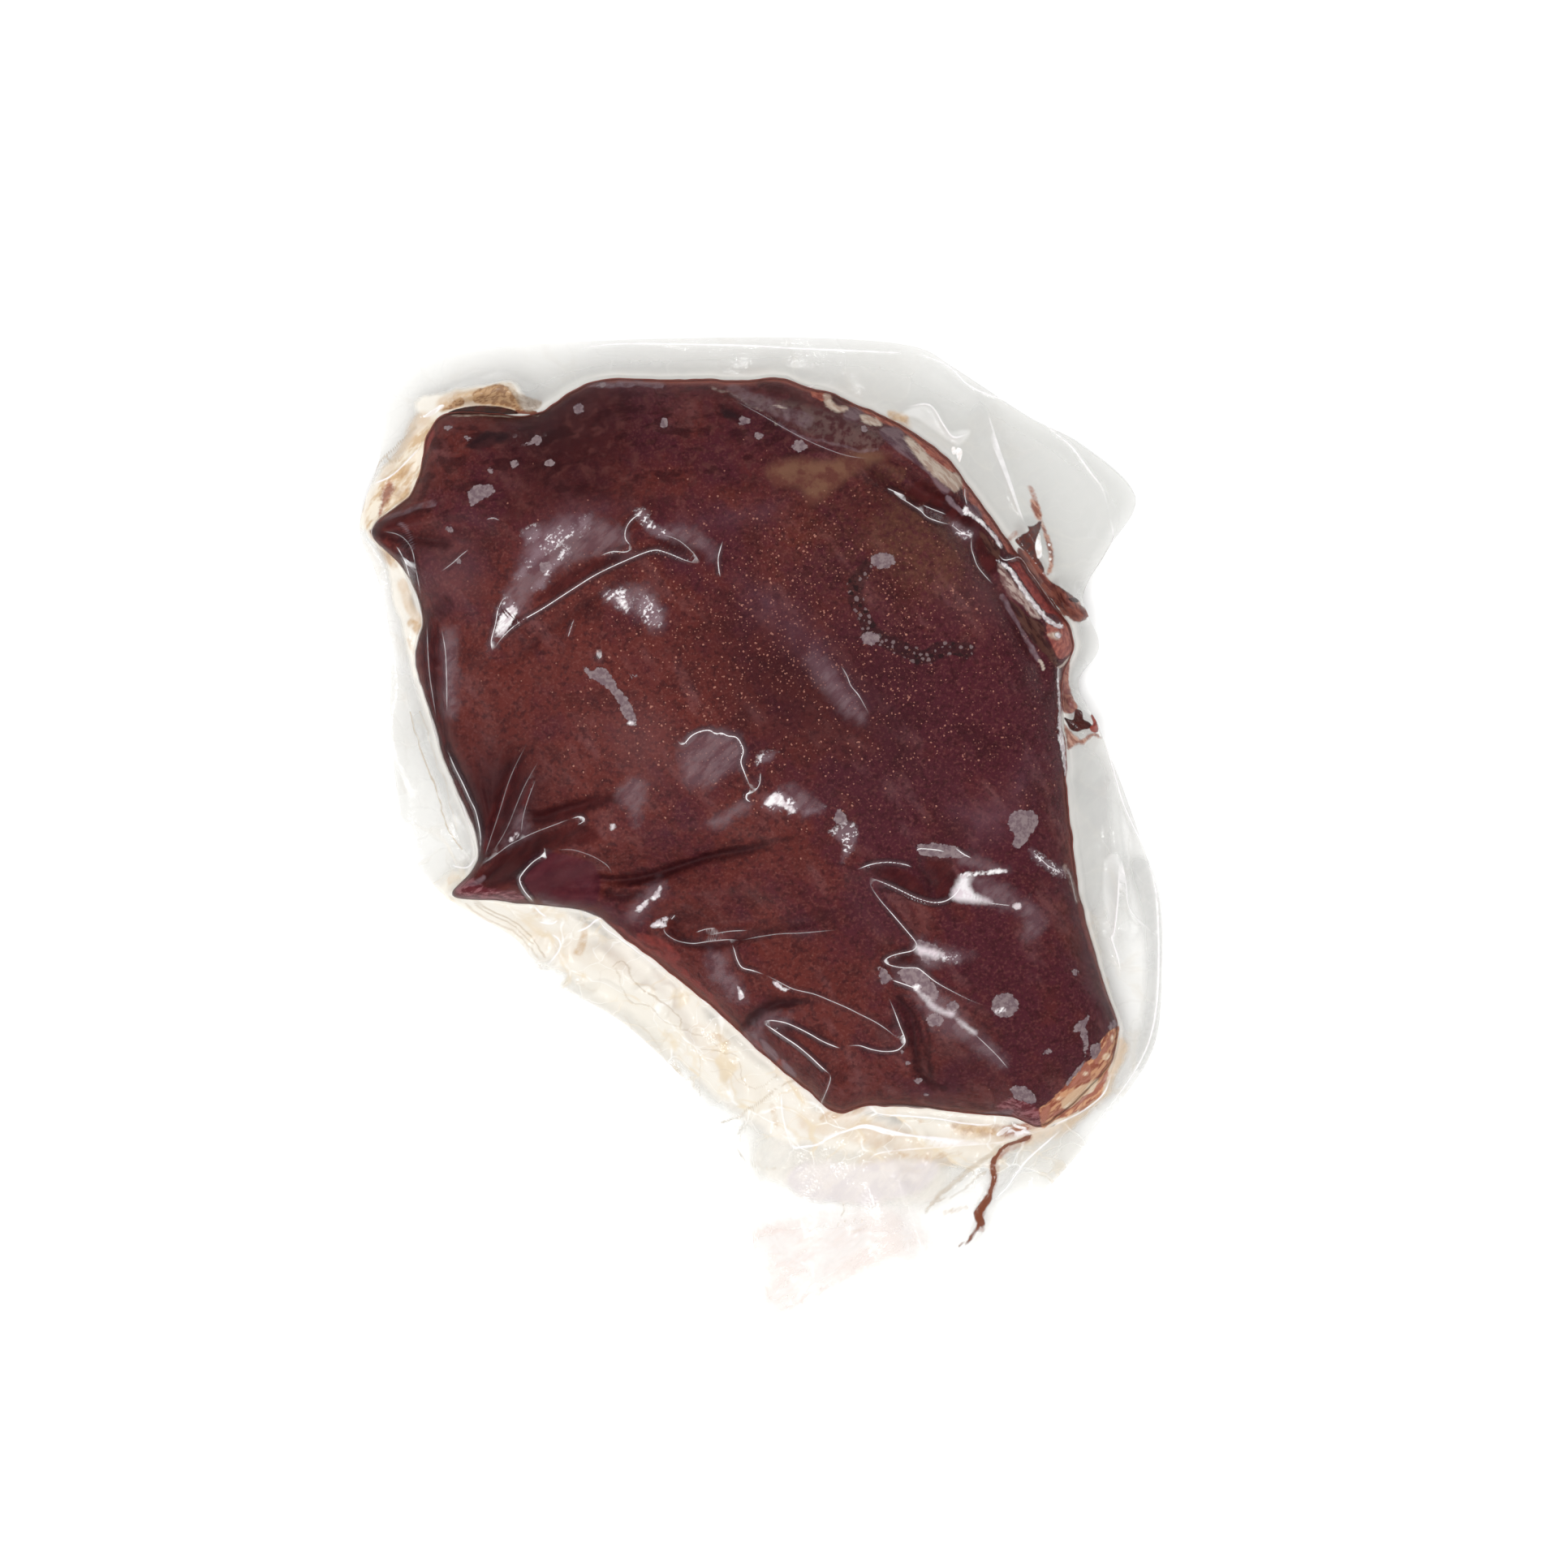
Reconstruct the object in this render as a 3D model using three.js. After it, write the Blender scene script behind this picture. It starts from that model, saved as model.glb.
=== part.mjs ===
// A raw lamb liver sealed under vacuum in a clear film bag, lying flat with the shown side up.
// Millimetres, +Z up, +Y towards the bag's upper edge, origin on the ground under the middle of the box.
// Both pieces share one fan of spokes that start inside the liver, so the film lies parallel to its belly.
import * as THREE from 'three';

// The lobe: its thickness, and how far in from the rim its upper side and its belly are rounded.
const lobeThickness = 19.5;
const shoulderWidth = 20;
const bellyWidth = 11;

// The film: two layers pressed into one skirt, and the space that it keeps to the liver.
const filmThickness = 0.7;
const clingGap = 0.35;
const narrowestSkirt = 2.2;

// The fan of spokes, and the rings on them as shares of the way from the rim to the hub, or to the bag's edge.
const hub = new THREE.Vector2(10, 20);
const spokeCount = 132;
const shoulderRings = [0.008, 0.025, 0.05, 0.085, 0.125, 0.175, 0.24, 0.32, 0.41, 0.51, 0.62, 0.74, 0.87];
const bellyRings = [0.02, 0.06, 0.15, 0.5];
const skirtRings = [0.16, 0.34, 0.54, 0.76, 1];

// The liver's rim seen from above, clockwise from the upper left corner.
const liverRim = [
  [-79, 105.5], [-57, 106], [-41, 113.8], [-7.5, 114.3], [4, 114.8], [20.5, 109.8], [42.5, 98.3], [55.5, 82.3],
  [70.5, 61.3], [77, 50], [74.3, 41], [75, 17], [78.5, -11], [84.5, -34], [88, -44.5], [86, -54], [74.5, -65.7],
  [68.5, -69], [61.5, -67], [24.7, -64.5], [19.7, -66.5], [8.3, -58], [-15.5, -36.7], [-31.9, -24.3], [-41, -17],
  [-64, -13.8], [-75.5, -12], [-69.7, -3.3], [-78.9, 25], [-85, 46], [-83.5, 55.3], [-88, 68], [-96, 77.5], [-86, 87],
];

// The bag's cut edge, clockwise from its left tip, with a sharp corner at the upper right and a tail below.
const bagEdge = [
  [-99, 77], [-98, 84], [-94, 96], [-93, 108], [-86, 118], [-75, 121.5], [-27, 124.7], [38.9, 122.5], [47, 118],
  [66.5, 105.3], [79, 98.7], [92.3, 85.3], [85.5, 72.9], [79.5, 61], [83.5, 49], [78.5, 40], [83.9, 28], [94.5, -0.5],
  [98.5, -14], [99, -30], [97, -50], [84.5, -69], [60.5, -96.7], [42, -115.7], [33, -121], [17, -125.3], [1, -113],
  [-2.5, -95], [-6, -75.5], [-32.5, -45.5], [-54.5, -32], [-60, -24], [-79, -12], [-87, -1], [-91.5, 26],
  [-91.7, 52], [-95, 67],
];

// Height of the seam above the ground where the two layers meet at the liver's rim, and of the bag's edge,
// as pairs of a direction in degrees seen from the hub and a height.
const seamHeights = [[0, 8], [45, 10], [90, 9], [130, 10], [155, 9], [200, 6], [235, 5], [270, 6], [315, 8]];
const edgeHeights = [[0, 5], [28, 7], [41, 11], [60, 9], [90, 12], [125, 8], [152, 7], [185, 2.5], [215, 1.5],
  [245, 0.6], [268, 0], [290, 1.5], [325, 5]];

// Broad swells of the lobe, each a place, a reach and a height.
const swells = [
  { x: 30, y: 55, reach: 42, height: 7 },
  { x: -38, y: 66, reach: 30, height: 3.5 },
  { x: 55, y: -38, reach: 26, height: 4.5 },
  { x: -12, y: 22, reach: 26, height: 3 },
];

// Folds of the lobe as lines over it: the rolled margin at the upper right stands up, the creases sink in.
const folds = [
  { line: [[22, 105.5], [38, 96], [49.5, 85.5], [58, 73], [66.5, 60.5], [72, 50.5]], width: 4.2, height: 4.5 },
  { line: [[30, 92], [44, 82.5], [52, 74], [60, 62], [66, 51], [71.5, 39]], width: 3.6, height: -4 },
  { line: [[-69, -3], [-57.7, 14.5], [-51, 27]], width: 7, height: -4, fades: true },
  { line: [[-69, -3], [-57, 2.5], [-44, 7], [-34.7, 11.9]], width: 5, height: -5, fades: true },
  { line: [[-47, -10], [-24, -5], [7.3, 1.1]], width: 5, height: -5, fades: true },
  { line: [[-30, -21], [-12, -19], [11.9, -16.9]], width: 5, height: -4, fades: true },
  { line: [[-90, 76], [-72, 73], [-60, 72]], width: 5, height: -3, fades: true },
  { line: [[26.5, -7.7], [37.7, -23.7], [35, -29], [56.1, -39.5]], width: 5, height: 2 },
];
const fadeLength = 1.6;

// Pinches of the skirt, each a fin of film that stands up along a short line.
const pinches = [
  { line: [[65, 77], [70, 69]], width: 2.6, height: 6 },
  { line: [[73, 63], [79, 57]], width: 2.6, height: 5 },
  { line: [[77, 35], [82, 30]], width: 2.6, height: 5 },
  { line: [[-74, 110], [-64, 113], [-56, 109]], width: 3, height: 4 },
  { line: [[87, 14], [88.5, -2], [90, -20]], width: 3.2, height: 3 },
  { line: [[60, -74], [57, -86], [52, -97]], width: 3, height: 2 },
  { line: [[30, -75], [36, -88], [40, -100]], width: 3.5, height: 2 },
  { line: [[-40, -27], [-24, -42], [-8, -62]], width: 3.5, height: 2.5 },
];

// Small waves that run round the skirt.
const waveHeight = 0.7;
const wavesRound = 23;

const outlineSteps = 1200;

function smoothRamp(t) {
  const s = THREE.MathUtils.clamp(t, 0, 1);
  return s * s * (3 - 2 * s);
}

function bell(t) {
  return Math.exp(-t * t);
}

// How near a place is to a line of straight stretches, and the share of the line's stretches before that point.
function nearestOnLine(line, x, y) {
  const best = { distance: Infinity, share: 0 };
  for (let i = 1; i < line.length; i += 1) {
    const [ax, ay] = line[i - 1];
    const [bx, by] = line[i];
    const along = ((x - ax) * (bx - ax) + (y - ay) * (by - ay)) / ((bx - ax) ** 2 + (by - ay) ** 2);
    const t = THREE.MathUtils.clamp(along, 0, 1);
    const distance = Math.hypot(x - ax - t * (bx - ax), y - ay - t * (by - ay));
    if (distance < best.distance) {
      best.distance = distance;
      best.share = (i - 1 + t) / (line.length - 1);
    }
  }
  return best;
}

// Height that a fold or a pinch adds at a place: a rounded ridge or furrow, which dies out at its end if it fades.
function foldHeight({ line, width, height, fades = false }, place) {
  const { distance, share } = nearestOnLine(line, place.x, place.y);
  const strength = fades ? smoothRamp((1 - share) * fadeLength) : 1;
  return height * strength * bell(distance / width);
}

function sumOf(list, valueOf) {
  return list.reduce((sum, entry) => sum + valueOf(entry), 0);
}

// The value at a direction, eased between the pairs of a list that runs once round.
function heightTowards(pairs, degrees) {
  const turned = THREE.MathUtils.euclideanModulo(degrees, 360);
  const next = pairs.findIndex(([at]) => at > turned);
  const [toAngle, toHeight] = next < 0 ? [360 + pairs[0][0], pairs[0][1]] : pairs[next];
  const [fromAngle, fromHeight] = pairs[(next < 0 ? pairs.length : next) - 1];
  const t = smoothRamp((turned - fromAngle) / (toAngle - fromAngle));
  return THREE.MathUtils.lerp(fromHeight, toHeight, t);
}

// Distance from the hub to a closed smooth outline, for each spoke.
function spokeLengths(outline) {
  const corners = outline.map(([x, y]) => new THREE.Vector3(x, y, 0));
  const path = new THREE.CatmullRomCurve3(corners, true, 'centripetal').getPoints(outlineSteps);
  const polar = path.map((p) => ({
    angle: Math.atan2(p.y - hub.y, p.x - hub.x),
    length: Math.hypot(p.x - hub.x, p.y - hub.y),
  }));
  const lengths = [];
  for (let i = 0; i < spokeCount; i += 1) {
    const direction = spokeAngle(i);
    let length = 0;
    for (let k = 1; k < polar.length; k += 1) {
      const before = turnBetween(direction, polar[k - 1].angle);
      const after = turnBetween(direction, polar[k].angle);
      if (before * after <= 0 && Math.abs(before - after) < Math.PI) {
        const t = before === after ? 0 : before / (before - after);
        length = Math.max(length, THREE.MathUtils.lerp(polar[k - 1].length, polar[k].length, t));
      }
    }
    lengths.push(length);
  }
  return lengths;
}

function turnBetween(from, to) {
  return THREE.MathUtils.euclideanModulo(to - from + Math.PI, 2 * Math.PI) - Math.PI;
}

function spokeAngle(i) {
  return (2 * Math.PI * i) / spokeCount;
}

const rimLengths = spokeLengths(liverRim);
const edgeLengths = spokeLengths(bagEdge).map((length, i) => Math.max(length, rimLengths[i] + narrowestSkirt));

// A place on a spoke; share 0 is the liver's rim, positive shares go in to the hub, negative ones out to the edge.
function placeOnSpoke(i, share) {
  const reach = share < 0 ? edgeLengths[i] - rimLengths[i] : rimLengths[i];
  const length = rimLengths[i] - share * reach;
  return new THREE.Vector2(Math.cos(spokeAngle(i)), Math.sin(spokeAngle(i))).multiplyScalar(length).add(hub);
}

// Underside of the film: flat on the ground in the middle, up the liver's belly to the seam, then out as the skirt.
function filmUnderside(i, share) {
  const degrees = THREE.MathUtils.radToDeg(spokeAngle(i));
  const seam = heightTowards(seamHeights, degrees);
  if (share >= 0) {
    const inward = share * rimLengths[i];
    return seam * Math.max(0, 1 - inward / bellyWidth) ** 2;
  }
  const place = placeOnSpoke(i, share);
  const outward = -share;
  const sloped = THREE.MathUtils.lerp(seam, heightTowards(edgeHeights, degrees), smoothRamp(outward));
  const away = smoothRamp(outward * 3);
  const wave = waveHeight * Math.sin(wavesRound * spokeAngle(i)) * Math.sin(Math.PI * outward);
  const pinched = sumOf(pinches, (pinch) => foldHeight(pinch, place));
  return Math.max(0, sloped + away * (wave + pinched));
}

// Upper side of the liver: a rounded shoulder up from the rim, then the lobe with its swells and folds.
function liverUpperSide(i, share) {
  const place = placeOnSpoke(i, share);
  const inward = Math.min(1, (share * rimLengths[i]) / shoulderWidth);
  const shoulder = Math.sqrt(1 - (1 - inward) ** 2);
  const swell = sumOf(swells, (s) => s.height * bell(Math.hypot(place.x - s.x, place.y - s.y) / s.reach));
  const folded = sumOf(folds, (fold) => foldHeight(fold, place));
  const seam = filmUnderside(i, 0);
  const rise = lobeThickness + swell - seam;
  return seam + filmThickness + clingGap + shoulder * (rise + folded * smoothRamp(inward * 2));
}

function liverBelly(i, share) {
  return filmUnderside(i, share) + filmThickness + clingGap;
}

// One face of a piece: rings of points from the outermost to the innermost, closed by a point at the hub.
function fanFace(shares, heightAt) {
  const rings = shares.map((share) => {
    const ring = [];
    for (let i = 0; i < spokeCount; i += 1) {
      const place = placeOnSpoke(i, share);
      ring.push(new THREE.Vector3(place.x, place.y, heightAt(i, share)));
    }
    return ring;
  });
  let hubHeight = 0;
  for (let i = 0; i < spokeCount; i += 1) {
    hubHeight += heightAt(i, 1) / spokeCount;
  }
  return { rings, tip: new THREE.Vector3(hub.x, hub.y, hubHeight) };
}

// A closed body from an upper and a lower face, which share their outermost ring or are joined by a wall.
function closedBody(upper, lower) {
  const corners = [];
  const faces = [];
  const numbers = new Map();
  const numberOf = (point) => {
    if (!numbers.has(point)) {
      numbers.set(point, corners.length / 3);
      corners.push(point.x, point.y, point.z);
    }
    return numbers.get(point);
  };
  const addBand = (outer, inner, flipped) => {
    for (let i = 0; i < spokeCount; i += 1) {
      const k = (i + 1) % spokeCount;
      const quad = [outer[i], outer[k], inner[k], inner[i]].map(numberOf);
      const [a, b, c, d] = quad;
      faces.push(...(flipped ? [a, c, b, a, d, c] : [a, b, c, a, c, d]));
    }
  };
  const addTip = (ring, tip, flipped) => {
    for (let i = 0; i < spokeCount; i += 1) {
      const [a, b, c] = [ring[i], ring[(i + 1) % spokeCount], tip].map(numberOf);
      faces.push(...(flipped ? [a, c, b] : [a, b, c]));
    }
  };
  [[upper, false], [lower, true]].forEach(([face, flipped]) => {
    for (let k = 1; k < face.rings.length; k += 1) {
      addBand(face.rings[k - 1], face.rings[k], flipped);
    }
    addTip(face.rings[face.rings.length - 1], face.tip, flipped);
  });
  if (upper.rings[0] !== lower.rings[0]) {
    addBand(lower.rings[0], upper.rings[0], false);
  }
  const geometry = new THREE.BufferGeometry();
  geometry.setAttribute('position', new THREE.Float32BufferAttribute(corners, 3));
  geometry.setIndex(faces);
  geometry.computeVertexNormals();
  return geometry;
}

// The liver, one lobe whose rim is the ring where its upper side and its belly meet.
function makeLiver() {
  const upper = fanFace([0, ...shoulderRings], liverUpperSide);
  const belly = fanFace([0, ...bellyRings], liverBelly);
  belly.rings[0] = upper.rings[0];
  const flesh = new THREE.MeshStandardMaterial({ color: 0x4a1c1e, roughness: 0.3, metalness: 0 });
  return new THREE.Mesh(closedBody(upper, belly), flesh);
}

// The film bag's skirt and underside, one wavy sheet with both faces split alike.
function makeFilm() {
  const shares = [...skirtRings.map((share) => -share).reverse(), 0, ...bellyRings];
  const upper = fanFace(shares, (i, share) => filmUnderside(i, share) + filmThickness);
  const lower = fanFace(shares, filmUnderside);
  const clearFilm = new THREE.MeshStandardMaterial({
    color: 0xe6e4df, roughness: 0.15, metalness: 0, transparent: true, opacity: 0.45,
  });
  return new THREE.Mesh(closedBody(upper, lower), clearFilm);
}

// Names the pieces and moves them so that the box of all of them stands centred over the origin.
const group = new THREE.Group();
const liver = makeLiver();
liver.name = 'liver';
const bagFilm = makeFilm();
bagFilm.name = 'bag_film';
group.add(liver, bagFilm);

const box = new THREE.Box3().setFromObject(group);
const centre = box.getCenter(new THREE.Vector3());
group.children.forEach((piece) => piece.position.set(-centre.x, -centre.y, -box.min.z));

export default group;
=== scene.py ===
import math
from types import SimpleNamespace

import bpy
import numpy as np
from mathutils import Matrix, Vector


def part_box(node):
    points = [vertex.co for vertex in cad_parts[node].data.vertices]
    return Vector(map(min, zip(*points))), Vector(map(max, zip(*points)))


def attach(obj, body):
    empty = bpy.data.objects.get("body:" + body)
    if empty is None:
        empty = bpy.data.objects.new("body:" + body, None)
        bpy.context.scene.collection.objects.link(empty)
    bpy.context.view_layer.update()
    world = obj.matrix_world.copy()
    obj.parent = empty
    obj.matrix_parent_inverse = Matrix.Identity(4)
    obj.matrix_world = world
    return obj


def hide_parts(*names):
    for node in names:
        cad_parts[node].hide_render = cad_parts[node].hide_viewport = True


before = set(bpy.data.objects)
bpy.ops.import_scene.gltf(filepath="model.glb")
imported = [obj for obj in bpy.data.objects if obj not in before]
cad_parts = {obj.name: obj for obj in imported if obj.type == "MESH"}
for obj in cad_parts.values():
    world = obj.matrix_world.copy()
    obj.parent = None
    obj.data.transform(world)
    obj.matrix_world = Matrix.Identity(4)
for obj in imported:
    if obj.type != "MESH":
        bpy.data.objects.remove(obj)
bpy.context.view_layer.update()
print("frame loaded:", sorted(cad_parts))

# Places are in millimetres on the pack's own drawing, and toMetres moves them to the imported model.
hub = (10.0, 20.0)                       # the spokes of both outlines start here
lobe = {"thickness": 19.5, "shoulder": 20.0, "belly": 11.0}
layers = {"thickness": 0.7, "gap": 0.35, "narrowest": 2.2}

liverRim = [
    (-79, 105.5), (-57, 106), (-41, 113.8), (-7.5, 114.3), (4, 114.8), (20.5, 109.8), (42.5, 98.3),
    (55.5, 82.3), (70.5, 61.3), (77, 50), (74.3, 41), (75, 17), (78.5, -11), (84.5, -34), (88, -44.5),
    (86, -54), (74.5, -65.7), (68.5, -69), (61.5, -67), (24.7, -64.5), (19.7, -66.5), (8.3, -58),
    (-15.5, -36.7), (-31.9, -24.3), (-41, -17), (-64, -13.8), (-75.5, -12), (-69.7, -3.3), (-78.9, 25),
    (-85, 46), (-83.5, 55.3), (-88, 68), (-96, 77.5), (-86, 87),
]
bagEdge = [
    (-99, 77), (-98, 84), (-94, 96), (-93, 108), (-86, 118), (-75, 121.5), (-27, 124.7), (38.9, 122.5),
    (47, 118), (66.5, 105.3), (79, 98.7), (92.3, 85.3), (85.5, 72.9), (79.5, 61), (83.5, 49), (78.5, 40),
    (83.9, 28), (94.5, -0.5), (98.5, -14), (99, -30), (97, -50), (84.5, -69), (60.5, -96.7), (42, -115.7),
    (33, -121), (17, -125.3), (1, -113), (-2.5, -95), (-6, -75.5), (-32.5, -45.5), (-54.5, -32),
    (-60, -24), (-79, -12), (-87, -1), (-91.5, 26), (-91.7, 52), (-95, 67),
]
seamHeights = [                          # direction in degrees, height
    (0, 8), (45, 10), (90, 9), (130, 10), (155, 9), (200, 6), (235, 5), (270, 6), (315, 8), (360, 8),
]
edgeHeights = [
    (0, 5), (28, 7), (41, 11), (60, 9), (90, 12), (125, 8), (152, 7), (185, 2.5), (215, 1.5), (245, 0.6),
    (268, 0), (290, 1.5), (325, 5), (360, 5),
]
swells = [(30, 55, 42, 7), (-38, 66, 30, 3.5), (55, -38, 26, 4.5), (-12, 22, 26, 3)]    # x, y, reach, height
folds = [                                # line, width, height, whether it fades towards its end
    ([(22, 105.5), (38, 96), (49.5, 85.5), (58, 73), (66.5, 60.5), (72, 50.5)], 4.2, 4.5, False),
    ([(30, 92), (44, 82.5), (52, 74), (60, 62), (66, 51), (71.5, 39)], 3.6, -4, False),
    ([(-69, -3), (-57.7, 14.5), (-51, 27)], 7, -4, True),
    ([(-69, -3), (-57, 2.5), (-44, 7), (-34.7, 11.9)], 5, -5, True),
    ([(-47, -10), (-24, -5), (7.3, 1.1)], 5, -5, True),
    ([(-30, -21), (-12, -19), (11.9, -16.9)], 5, -4, True),
    ([(-90, 76), (-72, 73), (-60, 72)], 5, -3, True),
    ([(26.5, -7.7), (37.7, -23.7), (35, -29), (56.1, -39.5)], 5, 2, False),
]
pinches = [                              # line, width, height
    ([(65, 77), (70, 69)], 2.6, 6),
    ([(73, 63), (79, 57)], 2.6, 5),
    ([(77, 35), (82, 30)], 2.6, 5),
    ([(-74, 110), (-64, 113), (-56, 109)], 3, 4),
    ([(87, 14), (88.5, -2), (90, -20)], 3.2, 3),
    ([(60, -74), (57, -86), (52, -97)], 3, 2),
    ([(30, -75), (36, -88), (40, -100)], 3.5, 2),
    ([(-40, -27), (-24, -42), (-8, -62)], 3.5, 2.5),
]
waves = {"height": 0.7, "round": 23}
fadeLength = 1.6
ragged = {"height": 0.8, "cell": 7.0, "shift": 200, "seed": 9}
lattice = 64                             # knots of the random heights each way, after which they repeat


def smoothRamp(t):                       # 0 to 1 with level ends
    s = np.clip(t, 0, 1)
    return s * s * (3 - 2 * s)


def bell(t):                             # e to the minus t squared
    return np.exp(-t * t)


def splineLoop(points, steps=40):        # closed Catmull-Rom curve, knots spaced by the root of each distance
    at = np.array(points, float)
    before, after, beyond = np.roll(at, 1, 0), np.roll(at, -1, 0), np.roll(at, -2, 0)
    pairs = ((before, at), (at, after), (after, beyond))
    early, gap, late = [np.sqrt(np.linalg.norm(b - a, axis=1))[:, None] for a, b in pairs]
    leave = ((at - before) / early - (after - before) / (early + gap) + (after - at) / gap) * gap
    arrive = ((after - at) / gap - (beyond - at) / (gap + late) + (beyond - after) / late) * gap
    t = np.linspace(0, 1, steps, endpoint=False)[None, :, None]
    square, cube = 3 * (after - at) - 2 * leave - arrive, 2 * (at - after) + leave + arrive
    curve = at[:, None] + leave[:, None] * t + square[:, None] * t ** 2 + cube[:, None] * t ** 3
    return curve.reshape(-1, 2)


def splineLine(points, steps=5):         # an open curve of the same kind, with evenly spaced knots
    at = np.array(points, float)
    if len(at) < 3:
        return at
    padded = np.vstack([2 * at[0] - at[1], at, 2 * at[-1] - at[-2]])
    t = np.linspace(0, 1, steps, endpoint=False)[None, :, None]
    p0, p1, p2, p3 = padded[:-3, None], padded[1:-2, None], padded[2:-1, None], padded[3:, None]
    curve = 0.5 * (2 * p1 + (p2 - p0) * t + (2 * p0 - 5 * p1 + 4 * p2 - p3) * t ** 2
                   + (3 * p1 - p0 - 3 * p2 + p3) * t ** 3)
    return np.vstack([curve.reshape(-1, 2), at[-1]])


def reachTo(outline, angle):             # distance from the hub to an outline in each direction
    curve = splineLoop(outline) - hub
    return np.interp(angle, np.arctan2(curve[:, 1], curve[:, 0]), np.hypot(*curve.T), period=2 * np.pi)


def nearestOnLine(line, x, y):           # distance to straight stretches, share along them, nearest place
    nearest, share = np.full(np.shape(x), np.inf), np.zeros(np.shape(x))
    toX, toY = np.array(x, float), np.array(y, float)
    for i, ((ax, ay), (bx, by)) in enumerate(zip(line, line[1:])):
        stepX, stepY = bx - ax, by - ay
        along = np.clip(((x - ax) * stepX + (y - ay) * stepY) / (stepX ** 2 + stepY ** 2), 0, 1)
        footX, footY = ax + along * stepX, ay + along * stepY
        distance = np.hypot(x - footX, y - footY)
        closer = distance < nearest
        nearest = np.where(closer, distance, nearest)
        share = np.where(closer, (i + along) / (len(line) - 1), share)
        toX, toY = np.where(closer, footX, toX), np.where(closer, footY, toY)
    return nearest, share, toX, toY


def aroundLine(path, x, y, reach):       # which places lie in the box round a line
    low, high = path.min(0) - reach, path.max(0) + reach
    return (x > low[0]) & (x < high[0]) & (y > low[1]) & (y < high[1])


def softNoise(x, y, cell, seed):         # smooth random heights from -1 to 1 between the knots of a lattice
    table = np.random.default_rng(seed).uniform(-1, 1, (lattice, lattice))
    u, v = x / cell, y / cell
    i, j = np.floor(u).astype(int), np.floor(v).astype(int)
    s, t = smoothRamp(u - i), smoothRamp(v - j)
    near, far = [table[i % lattice, row % lattice] * (1 - s) + table[(i + 1) % lattice, row % lattice] * s
                 for row in (j, j + 1)]
    return near * (1 - t) + far * t


def cloudNoise(x, y, cell, seed, octaves=3):   # layers of soft noise, each half the size and half the height
    total = sum(softNoise(x, y, cell / 2 ** k, seed + k) / 2 ** k for k in range(octaves))
    return total / (2 - 2 ** (1 - octaves))


def heightTowards(pairs, angle):         # eased between pairs of a direction in degrees and a height
    at, heights = np.array(pairs, float).T
    turned = np.degrees(angle) % 360
    low = np.clip(np.searchsorted(at, turned, side="right") - 1, 0, len(at) - 2)
    t = smoothRamp((turned - at[low]) / (at[low + 1] - at[low]))
    return heights[low] * (1 - t) + heights[low + 1] * t


def rimTowards(angle):                   # the liver's outline with small unevenness
    rim = reachTo(liverRim, angle)
    x, y = rim * np.cos(angle) + ragged["shift"], rim * np.sin(angle) + ragged["shift"]
    return rim + ragged["height"] * cloudNoise(x, y, ragged["cell"], ragged["seed"])


def bothTowards(angle):                  # the reach of the liver's rim and of the bag's edge
    rim = rimTowards(angle)
    return rim, np.maximum(reachTo(bagEdge, angle), rim + layers["narrowest"])


def spotsOf(angle, rim, edge, length, x, y):     # how places lie: mm inside the rim, share of the skirt
    outward = np.clip((length - rim) / (edge - rim), 0, 1)
    return SimpleNamespace(angle=angle, rim=rim, edge=edge, x=x, y=y, inward=rim - length, outward=outward)


def spotsThrough(x, y):                  # places given by x and y
    angle, length = np.arctan2(y - hub[1], x - hub[0]), np.hypot(x - hub[0], y - hub[1])
    return spotsOf(angle, *bothTowards(angle), length, x, y)


def spotsAt(angle, inward=None, outward=None):   # places given by direction and by how they lie
    rim, edge = bothTowards(angle)
    length = rim - inward if outward is None else rim + outward * (edge - rim)
    return spotsOf(angle, rim, edge, length, hub[0] + length * np.cos(angle), hub[1] + length * np.sin(angle))


def foldHeights(lines, spots):           # sum of rounded ridges and furrows along lines
    total = np.zeros(np.shape(spots.x))
    for line, width, height, *fades in lines:
        distance, share = nearestOnLine(line, spots.x, spots.y)[:2]
        strength = smoothRamp((1 - share) * fadeLength) if fades and fades[0] else 1
        total += height * strength * bell(distance / width)
    return total


def filmUnderside(spots):                # flat on the ground, up the belly to the seam, then out as the skirt
    seam = heightTowards(seamHeights, spots.angle)
    belly = seam * np.maximum(0, 1 - spots.inward / lobe["belly"]) ** 2
    sloped = seam + (heightTowards(edgeHeights, spots.angle) - seam) * smoothRamp(spots.outward)
    wave = waves["height"] * np.sin(waves["round"] * spots.angle) * np.sin(np.pi * spots.outward)
    lifted = smoothRamp(spots.outward * 3) * (wave + foldHeights(pinches, spots))
    return np.maximum(0, np.where(spots.inward >= 0, belly, sloped + lifted))


def liverUpper(spots):                   # a rounded shoulder up from the rim, then swells and folds
    inward = np.clip(spots.inward / lobe["shoulder"], 0, 1)
    shoulder = np.sqrt(1 - (1 - inward) ** 2)
    swell = sum(height * bell(np.hypot(spots.x - x, spots.y - y) / reach) for x, y, reach, height in swells)
    seam = heightTowards(seamHeights, spots.angle)
    rise = lobe["thickness"] + swell - seam + foldHeights(folds, spots) * smoothRamp(inward * 2)
    return seam + layers["thickness"] + layers["gap"] + shoulder * rise


outer = splineLoop(bagEdge)
centre = (outer.max(0) + outer.min(0)) / 2
low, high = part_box("bag_film")
middle = np.array([(low[0] + high[0]) / 2, (low[1] + high[1]) / 2])


def toMetres(x, y, z):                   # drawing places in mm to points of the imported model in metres
    flat = np.stack([np.ravel(x) - centre[0], np.ravel(y) - centre[1], np.ravel(z)], 1) * 0.001
    flat[:, :2] += middle
    return flat


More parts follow.
